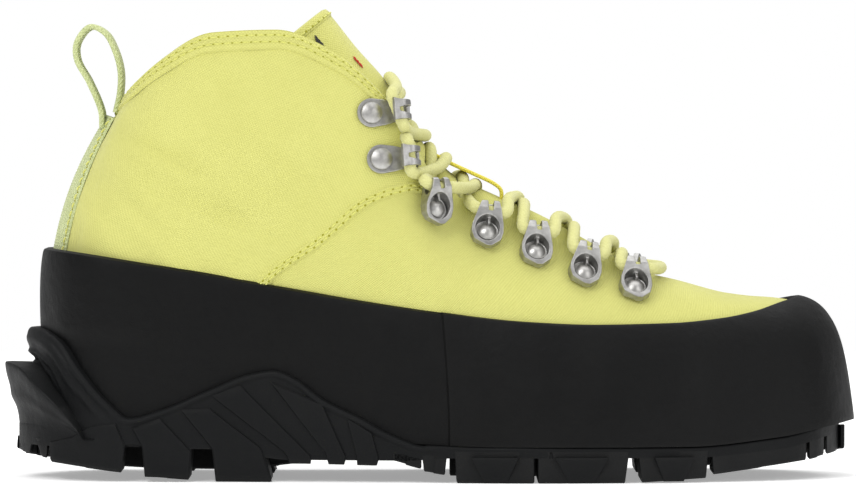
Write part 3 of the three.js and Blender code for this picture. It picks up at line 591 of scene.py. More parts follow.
def cord_material(name, dark, light):
    """Braided yarn: a soft mottle of fibres, darker in the grooves between its strands and lighter on their
    ridges: painted shade and painted highlight.
    """
    look = Look(name, Roughness=0.85, Specular_IOR_Level=0.2, Sheen_Weight=0.25, Sheen_Roughness=0.4)
    fibres = look.noise(2600, 3, roughness=0.7)
    # painted shade in the grooves between strands and a painted highlight on their ridges, from the surface's
    # pointiness
    painted_hollow_shade = look.spread(look.pointiness(), 0.42, 0.55, -0.25, 0.25)
    shade = look.maths("ADD", look.spread(fibres, 0.3, 0.7, 0.2, 0.85), painted_hollow_shade)
    look.set(Base_Color=look.mix(shade, dark, light))
    look.bump(fibres, 0.00006)
    return look.material


def rubber_material(name, colour, dust_and_highlight_colour, grain, roughness):
    """Matte black rubber with a fine grain, dusty in random patches and lighter on its convex edges: partly
    wear from use, partly painted highlight.
    """
    look = Look(name, Specular_IOR_Level=0.14)
    dust = look.spread(look.noise(30, 6, roughness=0.7), 0.5, 0.78, 0, 0.3)
    # lighter on convex edges, from the surface's pointiness: partly wear from use, partly painted highlight
    dust_and_edge_highlight = look.maths("ADD", dust, look.spread(look.pointiness(), 0.5, 0.62, 0, 0.45))
    rough = look.spread(look.noise(60, 4), 0.3, 0.7, roughness - 0.08, roughness + 0.1)
    look.set(Base_Color=look.mix(dust_and_edge_highlight, colour, dust_and_highlight_colour), Roughness=rough)
    coarse = look.maths("MULTIPLY", look.noise(0.12 / grain, 3), 2.5)
    look.bump(look.maths("ADD", look.noise(1 / grain, 3), coarse), 0.00012)
    return look.material


def metal_material(name, bright, dull, roughness):
    """Cast or stamped metal with a satin tumbled finish."""
    look = Look(name, Metallic=1.0)
    patch = look.spread(look.noise(260, 5, roughness=0.65), 0.35, 0.7)
    rough = look.spread(look.noise(420, 4), 0.3, 0.7, roughness - 0.06, roughness + 0.14)
    look.set(Base_Color=look.mix(patch, bright, dull), Roughness=rough)
    look.bump(look.noise(2600, 3), 0.00005, 0.6)
    return look.material


def plastic_material(name, colour, roughness, grain=0.0004):
    """Matt moulded plastic, foam or fibre board, with a fine mottle."""
    look = Look(name, Roughness=roughness, Specular_IOR_Level=0.3)
    darker = tuple(0.8 * c for c in colour)
    look.set(Base_Color=look.mix(look.noise(0.3 / grain, 4), darker, colour))
    look.bump(look.noise(1 / grain, 4), grain * 0.25)
    return look.material


CANVAS = woven_material("canvas", (0.50, 0.495, 0.125), (0.725, 0.715, 0.245), 0.00062, 0.00007, 0.25)
LINING = woven_material("lining", (0.50, 0.52, 0.16), (0.80, 0.82, 0.36), 0.0005, 0.00008)
WEBBING = woven_material("webbing", (0.42, 0.48, 0.20), (0.73, 0.78, 0.43), 0.0009, 0.0002, 0.7)
LACE = cord_material("lace", (0.50, 0.49, 0.17), (0.70, 0.69, 0.315))
KEEPER = woven_material("keeper_webbing", (0.70, 0.60, 0.06), (0.92, 0.82, 0.14), 0.0006, 0.00012)
DARK_THREAD = woven_material("dark_thread", (0.02, 0.02, 0.02), (0.07, 0.07, 0.07), 0.0003, 0.00004)
RED_THREAD = woven_material("red_thread", (0.35, 0.02, 0.01), (0.75, 0.08, 0.05), 0.0003, 0.00004)
THREAD_CLOTH = woven_material("thread", (0.54, 0.54, 0.11), (0.80, 0.80, 0.27), 0.0003, 0.00004)
# The needle holes' colour is dark as painted shade inside the holes.
STITCH_HOLE_SHADE = woven_material("stitch_hole", (0.27, 0.26, 0.02), (0.42, 0.41, 0.04), 0.0003, 0.00004)
RAND = rubber_material("rand_rubber", (0.0026, 0.0027, 0.0028), (0.0095, 0.0095, 0.0092), 0.0004, 0.48)
TREAD = rubber_material("tread_rubber", (0.0046, 0.005, 0.0054), (0.015, 0.015, 0.0148), 0.0005, 0.56)
CAST = metal_material("cast_metal", (0.47, 0.465, 0.45), (0.29, 0.285, 0.275), 0.36)
STEEL = metal_material("steel", (0.54, 0.53, 0.51), (0.36, 0.355, 0.34), 0.36)
AGLET = plastic_material("aglet", (0.72, 0.76, 0.40), 0.35)
FOAM = plastic_material("foam", (0.80, 0.78, 0.58), 0.95, 0.0008)
BOARD = plastic_material("board", (0.58, 0.54, 0.44), 0.9, 0.0006)
STIFFENER = plastic_material("stiffener", (0.74, 0.72, 0.66), 0.7, 0.0005)

# --- the upper

SEAM_SHIFT = 0.24  # how far forward of the shared seam line the sewn band ends, in ring positions
SEAM_RAISE = 0.75  # how far the sewn band stands over the quarter behind it
SEAM_BAND = 5.6
SEAM_ROWS = (1.5, 3.5)  # distances of the two stitch rows from the band's front edge
BACK_EDGE = 0.004  # where the quarters meet at the heel, in ring positions
# Soft creases over the ankle: (x, z) of the middle, slope, half length and depth.
CREASES = [(-97, 120, -0.3, 22, 1.5), (-70, 95.5, -0.27, 24, 1.4), (-52, 116, -0.5, 20, 0.8),
           (-106, 98, -0.7, 15, 0.9)]


def board_share(t):
    return share_at(t, lambda x: sole_top(x) + 4)


def creases(p):
    total = np.zeros(p.shape[:-1])
    for x, z, slope, length, depth in CREASES:
        right, up = p[..., 0] - x, p[..., 2] - z
        along = (right + up * slope) / math.hypot(1, slope)
        off = (up - right * slope) / math.hypot(1, slope) + 2.5 * np.sin(along / 17)
        roll = 0.9 * ridge(off, 8, 5.5) - 0.7 * ridge(off, 0, 2.4) + 0.5 * ridge(off, -5, 3.4)
        total += depth * roll * ridge(along, 0, length)
    return total


def make_upper():
    """The vamp, the two ankle quarters that lap over it, and their stitching."""
    p, n = upper_patch(300, 70, quarter_seam, mirrored(quarter_seam), board_share, level(1))
    vamp = skin("vamp_cloth", p, n, -1.2, ripple(p, 38, 0.25) - 0.1)
    dress(vamp, CANVAS, "canvas", "boot", "vamp")
    front = lambda v: quarter_seam(v) + SEAM_SHIFT
    spans = {"lateral": (level(BACK_EDGE), front), "medial": (mirrored(front), level(RING - BACK_EDGE))}
    for side, (start, end) in spans.items():
        p, n = upper_patch(220, 150, start, end, board_share, level(1))
        from_front, up = lengths(p, 0), lengths(p, 1)
        if side == "lateral":
            from_front = from_front[-1:] - from_front
        lift = 0.3 * step_up(from_front / 0.8)
        lift += SEAM_RAISE * step_up(from_front / 1.4) * step_up((SEAM_BAND - from_front) / 0.9)
        pucker = 0.7 + 0.3 * np.cos(up * 2 * math.pi / STITCH_PITCH)
        for row in SEAM_ROWS:
            lift -= 0.4 * ridge(from_front, row, 0.55) * pucker
        lift += 0.2 * ridge(from_front, sum(SEAM_ROWS) / 2, 0.6) * (1.3 - 0.5 * pucker)
        from_back = from_front.max(0) - from_front
        loose = step_up(from_front / 16) * step_up((up[:, -1:] - up) / 16)
        loose *= step_up((from_back - 9) / 14) * step_up((-30 - p[..., 0]) / 16)
        lift = np.maximum(lift + (creases(p) + ripple(p, 24, 0.8)) * loose, -0.6) + ripple(p, 42, 0.3)
        quarter = skin(f"quarter_{side}_cloth", p, n, -1.1, lift)
        rows = [row_of(p + n * lift[..., None], n, from_front, row) for row in SEAM_ROWS]
        sew(f"quarter_{side}", rows, "boot")
        dress(quarter, CANVAS, "canvas", "boot", f"quarter_{side}")


# --- the rubber rand

RAND_DEPTH = 3.1
RAND_SEAM = 6.38  # in ring positions


def make_rand():
    """The rear wrap, and the front wrap that meets it at an upright seam on each side."""
    low = lambda t: share_at(t, lambda x: sole_top(x) + 0.6)
    high = lambda t: share_at(t, rand_top)
    spans = {"rear": (-RAND_SEAM - 0.1, RAND_SEAM + 0.1), "front": (RAND_SEAM, RING - RAND_SEAM)}
    for name, (start, end) in spans.items():
        p, n = upper_patch(300, 60, level(start), level(end), low, high)
        x, z, w, ends = p[..., 0], p[..., 2], lengths(p, 1), from_ends(p, 0)
        from_top = w[:, -1:] - w
        depth = RAND_DEPTH - rounded_edge(from_top, 1.6, 1.4) - 0.9 * np.exp(-from_top / 5)
        if name == "front":
            deep = 1.3 - 0.6 * np.clip(ends / 12, 0, 1)
            depth += 2.7 * step_up((x - 126) / 24) * np.clip(1 - (z - 22) / 36, 0, 1)
            depth -= rounded_edge(ends, 1.2, 0.9)
        else:
            deep = 0.5
            stand_off = 1.8 + 0.096 * np.maximum(z - 57.7, 0)
            depth += stand_off * step_up((z - 48) / 10) * step_up((-92 - x) / 34)
            depth -= 0.9 * np.clip(1 - ends / 14, 0, 1)
        dress(skin(f"{name}_rand_rubber", p, n, deep, depth), RAND, "rubber", "boot", f"{name}_rand")


# --- the outsole

SOLE_CUP = 5.6  # how far the raised edge stands out from the upper
RIB_RAISE = 0.9
LEDGE_REACH = 1.75  # how far the heel's shelf reaches round each side, in ring positions

# How far behind its foot the outsole's raised edge lies, by x at the foot.
edge_shift = curve((-140, -7.6), (-133, -6.8), (-125, -5), (-113, -2.2), (-100, -0.7), (-83, 0))
ledge_top = curve((-160, 43.3), (-149, 42.4), (-146, 41.5), (-140, 34), (-131, 22), (-125, 13))


def side_top(x):
    return np.where(x < 0, cup_top(x + edge_shift(x)), sole_top(x) + 0.4)


def from_heel(t):
    return np.minimum(t % RING, RING - t % RING)


def wall(t, z):
    """The outsole's side at height z, below and above the level where the upper stands on it."""
    t, z = np.broadcast_arrays(np.asarray(t, float), np.asarray(z, float))
    foot = sole_top(foot_x(t))
    p, n = upper(t, share_at(t, lambda x: np.maximum(z, foot)))
    p[..., 2] = np.where(z < foot, z, p[..., 2])
    n = np.where((z < foot)[..., None], outward(t), n)
    heel = from_heel(t)
    rise = step_up((z - foot) / 7)
    reach = sole_flare(heel) * (1 - rise) + (SOLE_CUP + 2.2 * np.maximum(0, 1 - heel) ** 2) * rise
    return p, n, np.where(foot_x(t) > 0, sole_flare(heel), reach)


FOOT_TABLE = np.linspace(0, TOE, 600)


def on_wall(x, z, side):
    """The outsole's side where its side view is (x, z)."""
    t = np.interp(x, foot_x(FOOT_TABLE), FOOT_TABLE)
    for _ in range(5):
        p, n, reach = wall(turned(side)(t), z)
        q = p + n * reach[..., None]
        slope = (foot_x(t + 0.02) - foot_x(t - 0.02)) / 0.04
        t = np.clip(t + (x - q[..., 0]) / np.maximum(slope, 6), 0.02, TOE - 0.02)
    return q, n


def line_points(line, count):
    line = np.array(line, float)
    run = lengths(line)
    return places_along(line, run, np.linspace(0, run[-1], count))


def add_patch(shape, back, front, side, raised, deep=-1.5, soft=0.8, steps=(30, 26)):
    """A raised plate on the outsole's side, between a back and a front edge drawn from below upward."""
    i = np.linspace(0, 1, steps[0])[:, None, None]
    places = line_points(back, steps[1])[None] * (1 - i) + line_points(front, steps[1])[None] * i
    if side > 0:
        places = places[::-1]
    p, n = on_wall(places[..., 0], places[..., 1], side)
    raised = raised + np.zeros(p.shape[:2])
    shape.add(*skin_parts(p, n, deep, raised - rounded_edge(edge_distance(p), soft, soft * 0.8)))


# Plates on each side of the outsole, by the (x, z) of their back and front edges from below upward.
PLATES = [
    ([(-139.2, 7.1), (-139.4, 14), (-131, 16), (-123.1, 20.6)],
     [(-112.7, 3.6), (-111.2, 13.5), (-114.6, 21.5)]),
    ([(-103.9, 1.9), (-105, 13), (-108.7, 19.9)], [(-87.6, 1.4), (-86.7, 11.3), (-98.3, 23.6)]),
    ([(-77.9, 0.3), (-79.2, 12), (-90.8, 26.7)], [(-57.3, 0.2), (-61, 12.4), (-80.2, 27.2)]),
    ([(-50.8, 6.9), (-52.3, 10.7), (-80, 32)], [(-43.2, 6.7), (-42.8, 9.4), (-68.7, 35.6)]),
    ([(-36.4, 6.6), (-37.6, 10.7), (-58.1, 37)], [(-30.9, 6.5), (-30, 9.4), (-38.6, 29)]),
    ([(-25.9, 6.4), (-26.2, 9.6), (-30, 24.4)], [(-18.9, 6.3), (-18, 9), (-20.4, 18.4)]),
]
# Blocks under the edge: (x, x, z, z) of the underside, then how far the back and front lean at the top.
EDGE_BLOCKS = [
    (-153.4, -147.4, 10.2, 9.2, 0.3, 1.2), (-143.6, -140.6, 8.6, 8, -1.6, 0.4),
    (-139.2, -112.5, 6.6, 3.4, 0, 1.3),
    (-104, -87.6, 2, 0.8, -1, 1.2), (-78, -57.5, 0.2, 0, -1, -2.6), (-50.8, -43.2, 6.7, 6.7, -1.4, 0.6),
    (-36.4, -30.9, 6.6, 6.5, -1, 0.8), (-25.9, -18.9, 6.3, 6.2, -0.5, 0.8), (-13.5, -2.4, 8.2, 5.2, 0, 0),
    (-1.6, 6.3, 4.2, 3, -0.8, 0.8), (10.4, 38.9, 0, 0, -0.8, 0), (40.1, 72.2, 0, 0.1, 0, 1.4),
    (77.9, 102, 0.3, 1.6, -1.2, 0.8), (104.4, 139.6, 2.9, 7.3, -0.6, 0), (140.6, 146.7, 7.5, 8.7, 0, 0),
    (147.7, 155.5, 8.9, 10.2, 0, 0),
]
MIDDLE_BLOCKS = [
    (-150, -140.5, 8.8, 7.4), (-128, -101, 4.8, 3.2), (-92, -74, 3, 2.8), (-66, -45, 3, 5.4),
    (8, 24, 0.4, 0.2), (32, 48, 0.2, 0.2), (56, 72, 0.2, 0.4), (80, 96, 0.8, 1.6), (108, 122, 3.6, 5.4),
]
FACETS = [(10.4, 38.9), (40.1, 72.2), (77.9, 102)]
BEVEL = 0.7


def sole_outline(x, side):
    t = turned(side)(FOOT_TABLE)
    p = points(foot_x(t), foot_y(t), 0 * t) + outward(t) * sole_flare(FOOT_TABLE)[:, None]
    return np.interp(x, p[:, 0], p[:, 1])


def add_block(shape, block, inner, outer):
    """A tread block with bevelled edges. inner and outer give y at x."""
    back, front, z_back, z_front, lean_back, lean_front = block
    share = [0, 0, *np.linspace(0, 1, 12), 1, 1]
    inset = [BEVEL, 0.25, *np.zeros(12), 0.25, BEVEL]
    shift = [0, BEVEL * 0.6, *np.full(6, BEVEL), *np.full(6, -BEVEL), -BEVEL * 0.6, 0]
    rings = []
    for f, edge, move in zip(share, inset, shift):
        z_low = z_back + (z_front - z_back) * f + edge
        x_low = back + (front - back) * f + move * (1 if 0 < f < 1 else 0.5)
        x_high = x_low + lean_back + (lean_front - lean_back) * f
        x_mid = (x_low + x_high) / 2
        z_high = float(sole_under(x_mid)) + 2
        y_in, y_out = inner(x_mid), outer(x_mid)
        out = np.sign(y_out - y_in)
        y_in, y_out = y_in + out * edge, y_out - out * edge
        rings.append([
            (x_low, y_in + out * BEVEL, z_low), (x_low, y_out - out * BEVEL, z_low),
            (x_low, y_out, z_low + BEVEL), (x_high, y_out, z_high), (x_high, y_in, z_high),
            (x_low, y_in, z_low + BEVEL),
        ])
    shape.add(*sweep_parts(np.array(rings)))


def make_outsole():
    """Lip, side wall, ribbed knob and ledge at the heel, plates, and every tread block."""
    shape = Shape()
    columns, rows = ((1400, 64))
    i, j = np.meshgrid(np.arange(columns) / columns, np.linspace(0, 1, rows), indexing="ij")
    t = RING * i
    x = foot_x(t)
    low = sole_under(x) - 0.4 + 1.5 * ridge(x, -108, 5)
    high = side_top(x)
    z = low + (high - low) * (1 - (1 - j) ** 1.5)
    p, n, reach = wall(t, z)
    slope = side_top(x + 0.5) - side_top(x - 0.5)
    d = (high - z) / np.sqrt(1 + slope**2)
    heel = from_heel(t)
    knob = step_up((1.5 - heel) / 0.8)
    lip = 1.1 * ridge(d, 1.3, 1.2) * step_up((10 - x) / 12) * (1 - 0.7 * knob)
    lip += 0.9 * ridge(d, 4.7, 1.1) * step_up((-112 - x) / 10) * (1 - knob)
    lip += knob * (1.6 * ridge(d, 4, 3) + 0.8 * ridge(d, 8.9, 0.9) + 0.7 * ridge(d, 11.4, 0.9) + 0.4)
    reach = reach + lip - rounded_edge(d, 0.9, 0.8)
    above_ledge = z - ledge_top(p[..., 0] + n[..., 0] * reach)
    reach = reach - 2.4 * ridge(above_ledge, 1.4, 1.2) * step_up((-129 - p[..., 0]) / 5)
    inner = np.where(z < sole_top(x) + 1, np.minimum(reach, sole_flare(heel)) - 5, 1.5)
    shape.add(*skin_parts(p, n, inner, reach, wrap=True))
    p = foot_sheet(120, 20, 0.01, lambda t: sole_flare(t) - 1.2)
    up = points(0, 0, np.ones(p.shape[:2]))
    shape.add(*skin_parts(p, up, sole_under(p[..., 0]), sole_top(p[..., 0]) - 0.2))
    for side in (-1, 1):
        edge = lambda x: float(sole_outline(x, side))
        row = lambda x: side * min(15, abs(edge(x)) * 0.5)
        for block in EDGE_BLOCKS:
            add_block(shape, block, row, edge)
        for back, front in PLATES:
            add_patch(shape, back, front, side, RIB_RAISE)
        for back, front in FACETS:
            middle, half = (back + front) / 2, (front - back) / 2
            left = [(middle - half * 0.3, 0.6), (middle - half * 0.6, 9.4)]
            right = [(middle + half * 0.3, 0.6), (middle + half * 0.6, 9.4)]
            add_patch(shape, left, right, side, np.linspace(0.5, 2.2, 12)[None], soft=0.4, steps=(14, 12))
    for block in MIDDLE_BLOCKS:
        add_block(shape, (*block, 0, 0), level(-8.5), level(8.5))
    add_ledge(shape)
    dress(shape.make("outsole_rubber"), TREAD, "tread_rubber", "boot", "outsole")


def add_ledge(shape):
    """The shelf round the back of the heel, with a slit between it and the raised edge above."""
    i, j = grid(240, 40)
    t = LEDGE_REACH * (2 * i - 1) * 0.995
    heel = np.abs(t)
    x = foot_x(t % RING)
    fade = np.clip(1 - heel / LEDGE_REACH, 0, 1) ** 0.6
    top_reach = 6.2 + 11.2 * fade
    z_top = ledge_top(x - top_reach * 0.55)
    z = 15 + (np.maximum(z_top, 15.5) - 15) * j
    p, n, _ = wall(t % RING, z)
    flare = sole_flare(heel)
    reach = flare + 0.2 + (top_reach - flare) * step_up(j) ** 1.7
    crest = 0.8 * ridge(j, 0.55, 0.1) * fade
    shape.add(*skin_parts(p, n, 4.5, reach + crest - rounded_edge((1 - j) * 20, 0.5, 0.3)))


# --- splines, tubes and stitches


def spline(control):
    """A centripetal Catmull-Rom curve through points. Returns its point at a share of its spans."""
    control = np.array(control, float)
    whole = np.concatenate([[2 * control[0] - control[1]], control, [2 * control[-1] - control[-2]]])

    def at(share):
        share = np.clip(np.asarray(share, float), 0, 1) * (len(control) - 1)
        i = np.minimum(share.astype(int), len(control) - 2)
        a, b, c, d = [whole[i + k] for k in range(4)]
        k0, k1, k2 = [np.maximum(((q - r) ** 2).sum(-1, keepdims=True) ** 0.25, 1e-4)
                      for q, r in ((b, a), (c, b), (d, c))]
        t1 = ((b - a) / k0 - (c - a) / (k0 + k1) + (c - b) / k1) * k1
        t2 = ((c - b) / k1 - (d - b) / (k1 + k2) + (d - c) / k2) * k1
        return hermite(b, c, t1, t2, (share - i)[..., None])

    return at


def even_path(at, step):
    """Points a step apart along a curve given by share."""
    fine = at(np.linspace(0, 1, 6000))
    run = lengths(fine)
    return places_along(fine, run, np.linspace(0, run[-1], max(2, int(run[-1] / step))))


def frames_along(p):
    """Two cross directions at each point of a path, carried along it without twist."""
    along = unit(np.gradient(p, axis=0))
    side = np.zeros_like(p)
    side[0] = unit(np.cross(along[0], (0.3, 0.9, 0.2)))
    for i in range(1, len(p)):
        side[i] = side[i - 1] - along[i] * (side[i - 1] @ along[i])
        side[i] /= np.linalg.norm(side[i])
    return side, np.cross(along, side)


def turns(steps):
    return np.arange(steps) * 2 * math.pi / steps


def hoops(centres, radius, side, other):
    """Rings round a row of centres. radius has a value per centre, or per centre and step round."""
    radius = radius if radius.ndim == 2 else np.repeat(radius[:, None], 8, 1)
    turn = turns(radius.shape[1])[None, :, None]
    return centres[:, None] + radius[..., None] * (np.cos(turn) * side + np.sin(turn) * other)


def tube_parts(p, radius):
    side, other = frames_along(p)
    return sweep_parts(hoops(p, radius, side[:, None], other[:, None]))


STITCH_PITCH, STITCH_LENGTH, THREAD, STITCH_SINK = 3.5, 2.7, 0.36, 0.12
HOLE = 0.48
# A needle hole's rings: height over the cloth and radius.
HOLE_HEIGHTS, HOLE_RADII = np.array([-0.5, 0.05, 0.14]), np.array([HOLE, HOLE, HOLE * 0.6])


def add_stitches(shape, p, n, pitch=STITCH_PITCH, length=STITCH_LENGTH, thread=THREAD):
    """Thread lying along a seam: a short arched capsule for each stitch."""
    run = lengths(p)
    places = np.arange(pitch / 2, run[-1], pitch)
    middle, ahead = places_along(p, run, places), places_along(p, run, places + 0.4)
    along, face = unit(ahead - middle + 1e-6), unit(places_along(n, run, places))
    share = np.linspace(-1, 1, 7)
    height = (1 - share**2) * thread * 0.9 - STITCH_SINK
    radius = thread * np.sqrt(np.maximum(1 - share**4, 0.05))
    for m, a, f, s in zip(middle, along, face, unit(np.cross(face, along))):
        centres = m + a * (share * length / 2)[:, None] + f * height[:, None]
        shape.add(*sweep_parts(hoops(centres, radius, s, f)))


def add_holes(shape, p, n):
    """Needle holes between the stitches: small buttons almost level with the cloth, dark with painted shade
    of the holes.
    """
    run = lengths(p)
    places = np.arange(STITCH_PITCH, run[-1] - 0.5, STITCH_PITCH)
    face = unit(places_along(n, run, places))
    for m, f, s in zip(places_along(p, run, places), face, unit(np.cross(face, (0.3, 0.2, 0.9)))):
        centres = m + f * HOLE_HEIGHTS[:, None]
        shape.add(*sweep_parts(hoops(centres, HOLE_RADII, s, np.cross(f, s))))


def sew(name, rows, body):
    """Stitches and needle holes along rows of (points, outward directions)."""
    thread, holes = Shape(), Shape()
    for p, n in rows:
        add_stitches(thread, p, n)
        add_holes(holes, p, n)
    pieces = thread.make(f"{name}_stitches"), holes.make(f"{name}_stitch_holes")
    for piece, material in zip(pieces, (THREAD_CLOTH, STITCH_HOLE_SHADE)):
        dress(piece, material, "canvas", body)


def row_of(p, n, distance, value):
    """The line over a grid at a given distance, crossing each of its rows once."""
    lines = []
    for j in range(p.shape[1]):
        order = np.argsort(distance[:, j])
        place = np.interp(value, distance[order, j], order.astype(float))
        k = int(min(place, p.shape[0] - 2))
        f = place - k
        lines.append((p[k, j] * (1 - f) + p[k + 1, j] * f, n[k, j]))
    return tuple(np.array(part) for part in zip(*lines))


# --- metal fittings

METAL = 1.3
LOOP_PLACES = [(75.9, 70, 0.8), (57.3, 75.7, 0.6), (39.4, 83.2, 0.6), (21.4, 90.1, 1.5), (0.6, 98.8, 3.2)]
LOOP_TURNS = np.radians([10.6, 1.6, 6.6, 0, 11.6])
HOOK_PLACES = [(-17.4, 118.2, 0.6), (-21.1, 135.2, 0.5)]
HOOK_TURN = math.radians(-88)
LOOP_TUNNEL = (7.2, 4, 2.4)
HOOK_WIDTH, HOOK_BORE, HOOK_MIDDLE = 7.6, 3.2, 9.6


def side_place(x, z, side):
    """The upper's surface where its side view is (x, z)."""
    turn = turned(side)

    def beyond(t):
        return upper_point(turn(t), share_at(turn(t), lambda _: z))[..., 0] - x

    t = turn(solve(beyond, 0 * x + 0.5, 0 * x + TOE - 1))
    return upper(t, share_at(t, lambda _: z))


def fitting_frames(side):
    """Frames of one side's loops and hooks, from the toe: to the throat, outward, along the row, place."""
    x, z, lift = np.array(LOOP_PLACES + HOOK_PLACES, float).T
    p, n = side_place(x, z, side)
    slopes = np.array([*LOOP_TURNS, *[HOOK_TURN] * len(HOOK_PLACES)])
    row = points(np.cos(slopes), 0, np.sin(slopes))
    row = unit(row - n * (row * n).sum(-1, keepdims=True))
    up = np.cross(n, row) * -side
    return [np.column_stack(axes) for axes in zip(up, n, np.cross(up, n), p + n * lift[:, None])]


def prism(outline, low, high, raised):
    """A prism in millimetres over a closed outline, raised outward or laid across the row."""
    outline = [tuple(q) for q in outline]
    count = len(outline)
    place = (lambda a, b, c: (a, c, b)) if raised else (lambda a, b, c: (a, b, c))
    vertices = [place(a, b, c) for c in (low, high) for a, b in outline]
    mesh = bpy.data.meshes.new("prism")
    walls = [(i, (i + 1) % count, (i + 1) % count + count, i + count) for i in range(count)]
    mesh.from_pydata(vertices, [], [tuple(range(count))[::-1], tuple(range(count, 2 * count)), *walls])
    work = bmesh.new()
    work.from_mesh(mesh)
    bmesh.ops.recalc_face_normals(work, faces=work.faces)
    work.to_mesh(mesh)
    work.free()
    return new_object("prism", mesh)


def arc(x, y, radius, start=0, end=360, steps=48):
    angles = np.radians(np.linspace(start, end, steps, endpoint=end - start < 360))
    return [(x + radius * math.cos(a), y + radius * math.sin(a)) for a in angles]


def box(x0, x1, y0, y1):
    return [(x0, y0), (x1, y0), (x1, y1), (x0, y1)]


def sculpt(start, steps, voxel=0.17, smoothing=5):
    """Cuts a solid with others, then softens its edges as casting and tumbling do. Returns the mesh."""
    for operation, tool in steps:
        cut = start.modifiers.new("cut", "BOOLEAN")
        cut.operation, cut.object, cut.solver = operation, tool, "EXACT"
    even = start.modifiers.new("even", "REMESH")
    even.mode, even.voxel_size = "VOXEL", voxel * 1
    soft = start.modifiers.new("soft", "SMOOTH")
    soft.factor, soft.iterations = 0.5, smoothing
    mesh = bpy.data.meshes.new_from_object(start.evaluated_get(bpy.context.evaluated_depsgraph_get()))
    for piece in [start, *[tool for _, tool in steps]]:
        bpy.data.objects.remove(piece)
    mesh.transform(Matrix.Scale(MM, 4))
    mesh.shade_smooth()
    return mesh


def loop_mesh():
    """A pear-shaped ring round the rivet, pointed below, that rises to two prongs over the lace."""
    tip, top = -6.3, 10.3
    outline = [(tip - 0.3, 0.2), (-4, -5.1), (-1.4, -6.2), (1.4, -6), (top - 0.6, -2.9), (top, -2.6),
               (top, 3.5), (top - 0.6, 3.8), (1.6, 5.6), (-1.4, 5.7), (-4, 4.9), (tip - 0.3, 1.2)]
    side = [(tip, 0), (top, 0), (top, 6.9), (top - 0.9, 7.7), (6.6, 7.6), (3, 5.6), (-3.2, 3.3), (tip, 2.5)]
    body = prism(outline, 0, 10, True)
    rib = prism(box(2, 4.6, 0.4, 4.2), -0.2, 0.8, False)
    x, y, radius = LOOP_TUNNEL
    return sculpt(body, [
        ("INTERSECT", prism(side, -20, 20, False)),
        ("DIFFERENCE", prism(arc(0, -0.3, 4.55), METAL, 12, True)),
        ("DIFFERENCE", prism(arc(x, y, radius), -20, 20, False)),
        ("DIFFERENCE", prism([(5.9, -0.3), (14, -0.6), (14, 1.9), (5.9, 1.5)], 4.2, 12, True)),
        ("UNION", rib),
    ])


def hook_mesh():
    """A plate, round at its rivet, that curls outward and back over the lace as two lobes."""
    radius = HOOK_BORE + METAL
    back, tip = -5.4, 6.8
    side = [(back, 0), *arc(HOOK_MIDDLE, radius, radius, -90, 90, 24), (tip, 2 * radius + 0.9),
            (tip - 0.4, 2 * radius - 0.7), *arc(HOOK_MIDDLE, radius, HOOK_BORE, 90, -90, 24), (back, METAL)]
    half = HOOK_WIDTH / 2
    outline = [*arc(0, 0, 5.4, 84, 276, 30), (5, -4.7), (HOOK_MIDDLE - 1, -half), (15, -half + 0.3),
               (15, half - 0.3), (HOOK_MIDDLE - 1, half), (5, 4.7)]
    half_notch = [(-0.6, -0.7), (1.2, -1.1), (6, -2)]
    notch = [(HOOK_MIDDLE + a, b) for a, b in half_notch + [(a, -b) for a, b in half_notch[::-1]]]
    return sculpt(prism(side, -8, 8, False), [
        ("INTERSECT", prism(outline, -1, 20, True)),
        ("DIFFERENCE", prism(notch, radius - 1.2, 20, True)),
    ])


def rivet_mesh(head, rise, name):
    """A domed head over a thin rim, turned round its shank."""
    base = METAL + 0.1
    outline = [(0.01, 0.1), (1.5, 0.1), (1.5, base), (head * 0.94, base), (head, base + 0.25),
               (head * 0.97, base + 0.5)]
    outline += [(head * 0.93 * f, base + 0.5 + rise * (1 - f * f))
                for f in (1, 0.95, 0.88, 0.78, 0.64, 0.48, 0.3, 0.14, 0.01)]
    radius, height = np.array(outline).T
    rings = hoops(points(0, height, 0), np.repeat(radius[:, None], 48, 1), *np.eye(3)[[0, 2]])
    piece = Shape().add(*sweep_parts(rings)).make(name)
    mesh = piece.data
    bpy.data.objects.remove(piece)
    return mesh


def make_fittings():
    """Five cast loops and two hooks on each side of the throat, each with its rivet."""
    meshes = {"loop": (loop_mesh(), rivet_mesh(3.6, 1.5, "loop_rivet")),
              "hook": (hook_mesh(), rivet_mesh(4.1, 0.95, "hook_rivet"))}
    for pair in meshes.values():
        for mesh, material in zip(pair, (CAST, STEEL)):
            mesh.materials.clear()
            mesh.materials.append(material)
    for name, side in (("lateral", -1), ("medial", 1)):
        if side > 0:
            for kind, (mesh, rivet) in meshes.items():
                mesh = mesh.copy()
                mesh.transform(Matrix.Scale(-1, 4, (0, 0, 1)))
                mesh.flip_normals()
                meshes[kind] = (mesh, rivet)
        for i, axes in enumerate(fitting_frames(side)):
            kind = "loop" if i < len(LOOP_PLACES) else "hook"
            number = i + 1 if kind == "loop" else i + 1 - len(LOOP_PLACES)
            place = Matrix([*axes.tolist(), [0, 0, 0, 1]])
            place.translation *= MM
            for part, mesh, slot in zip((kind, f"{kind}_rivet"), meshes[kind], ("cast_metal", "steel")):
                piece = new_object(f"{part}_{name}_{number}_cast", mesh)
                piece.matrix_world = place
                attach(piece, "boot")
                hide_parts(f"{part}_{name}_{number}")


# --- the tongue

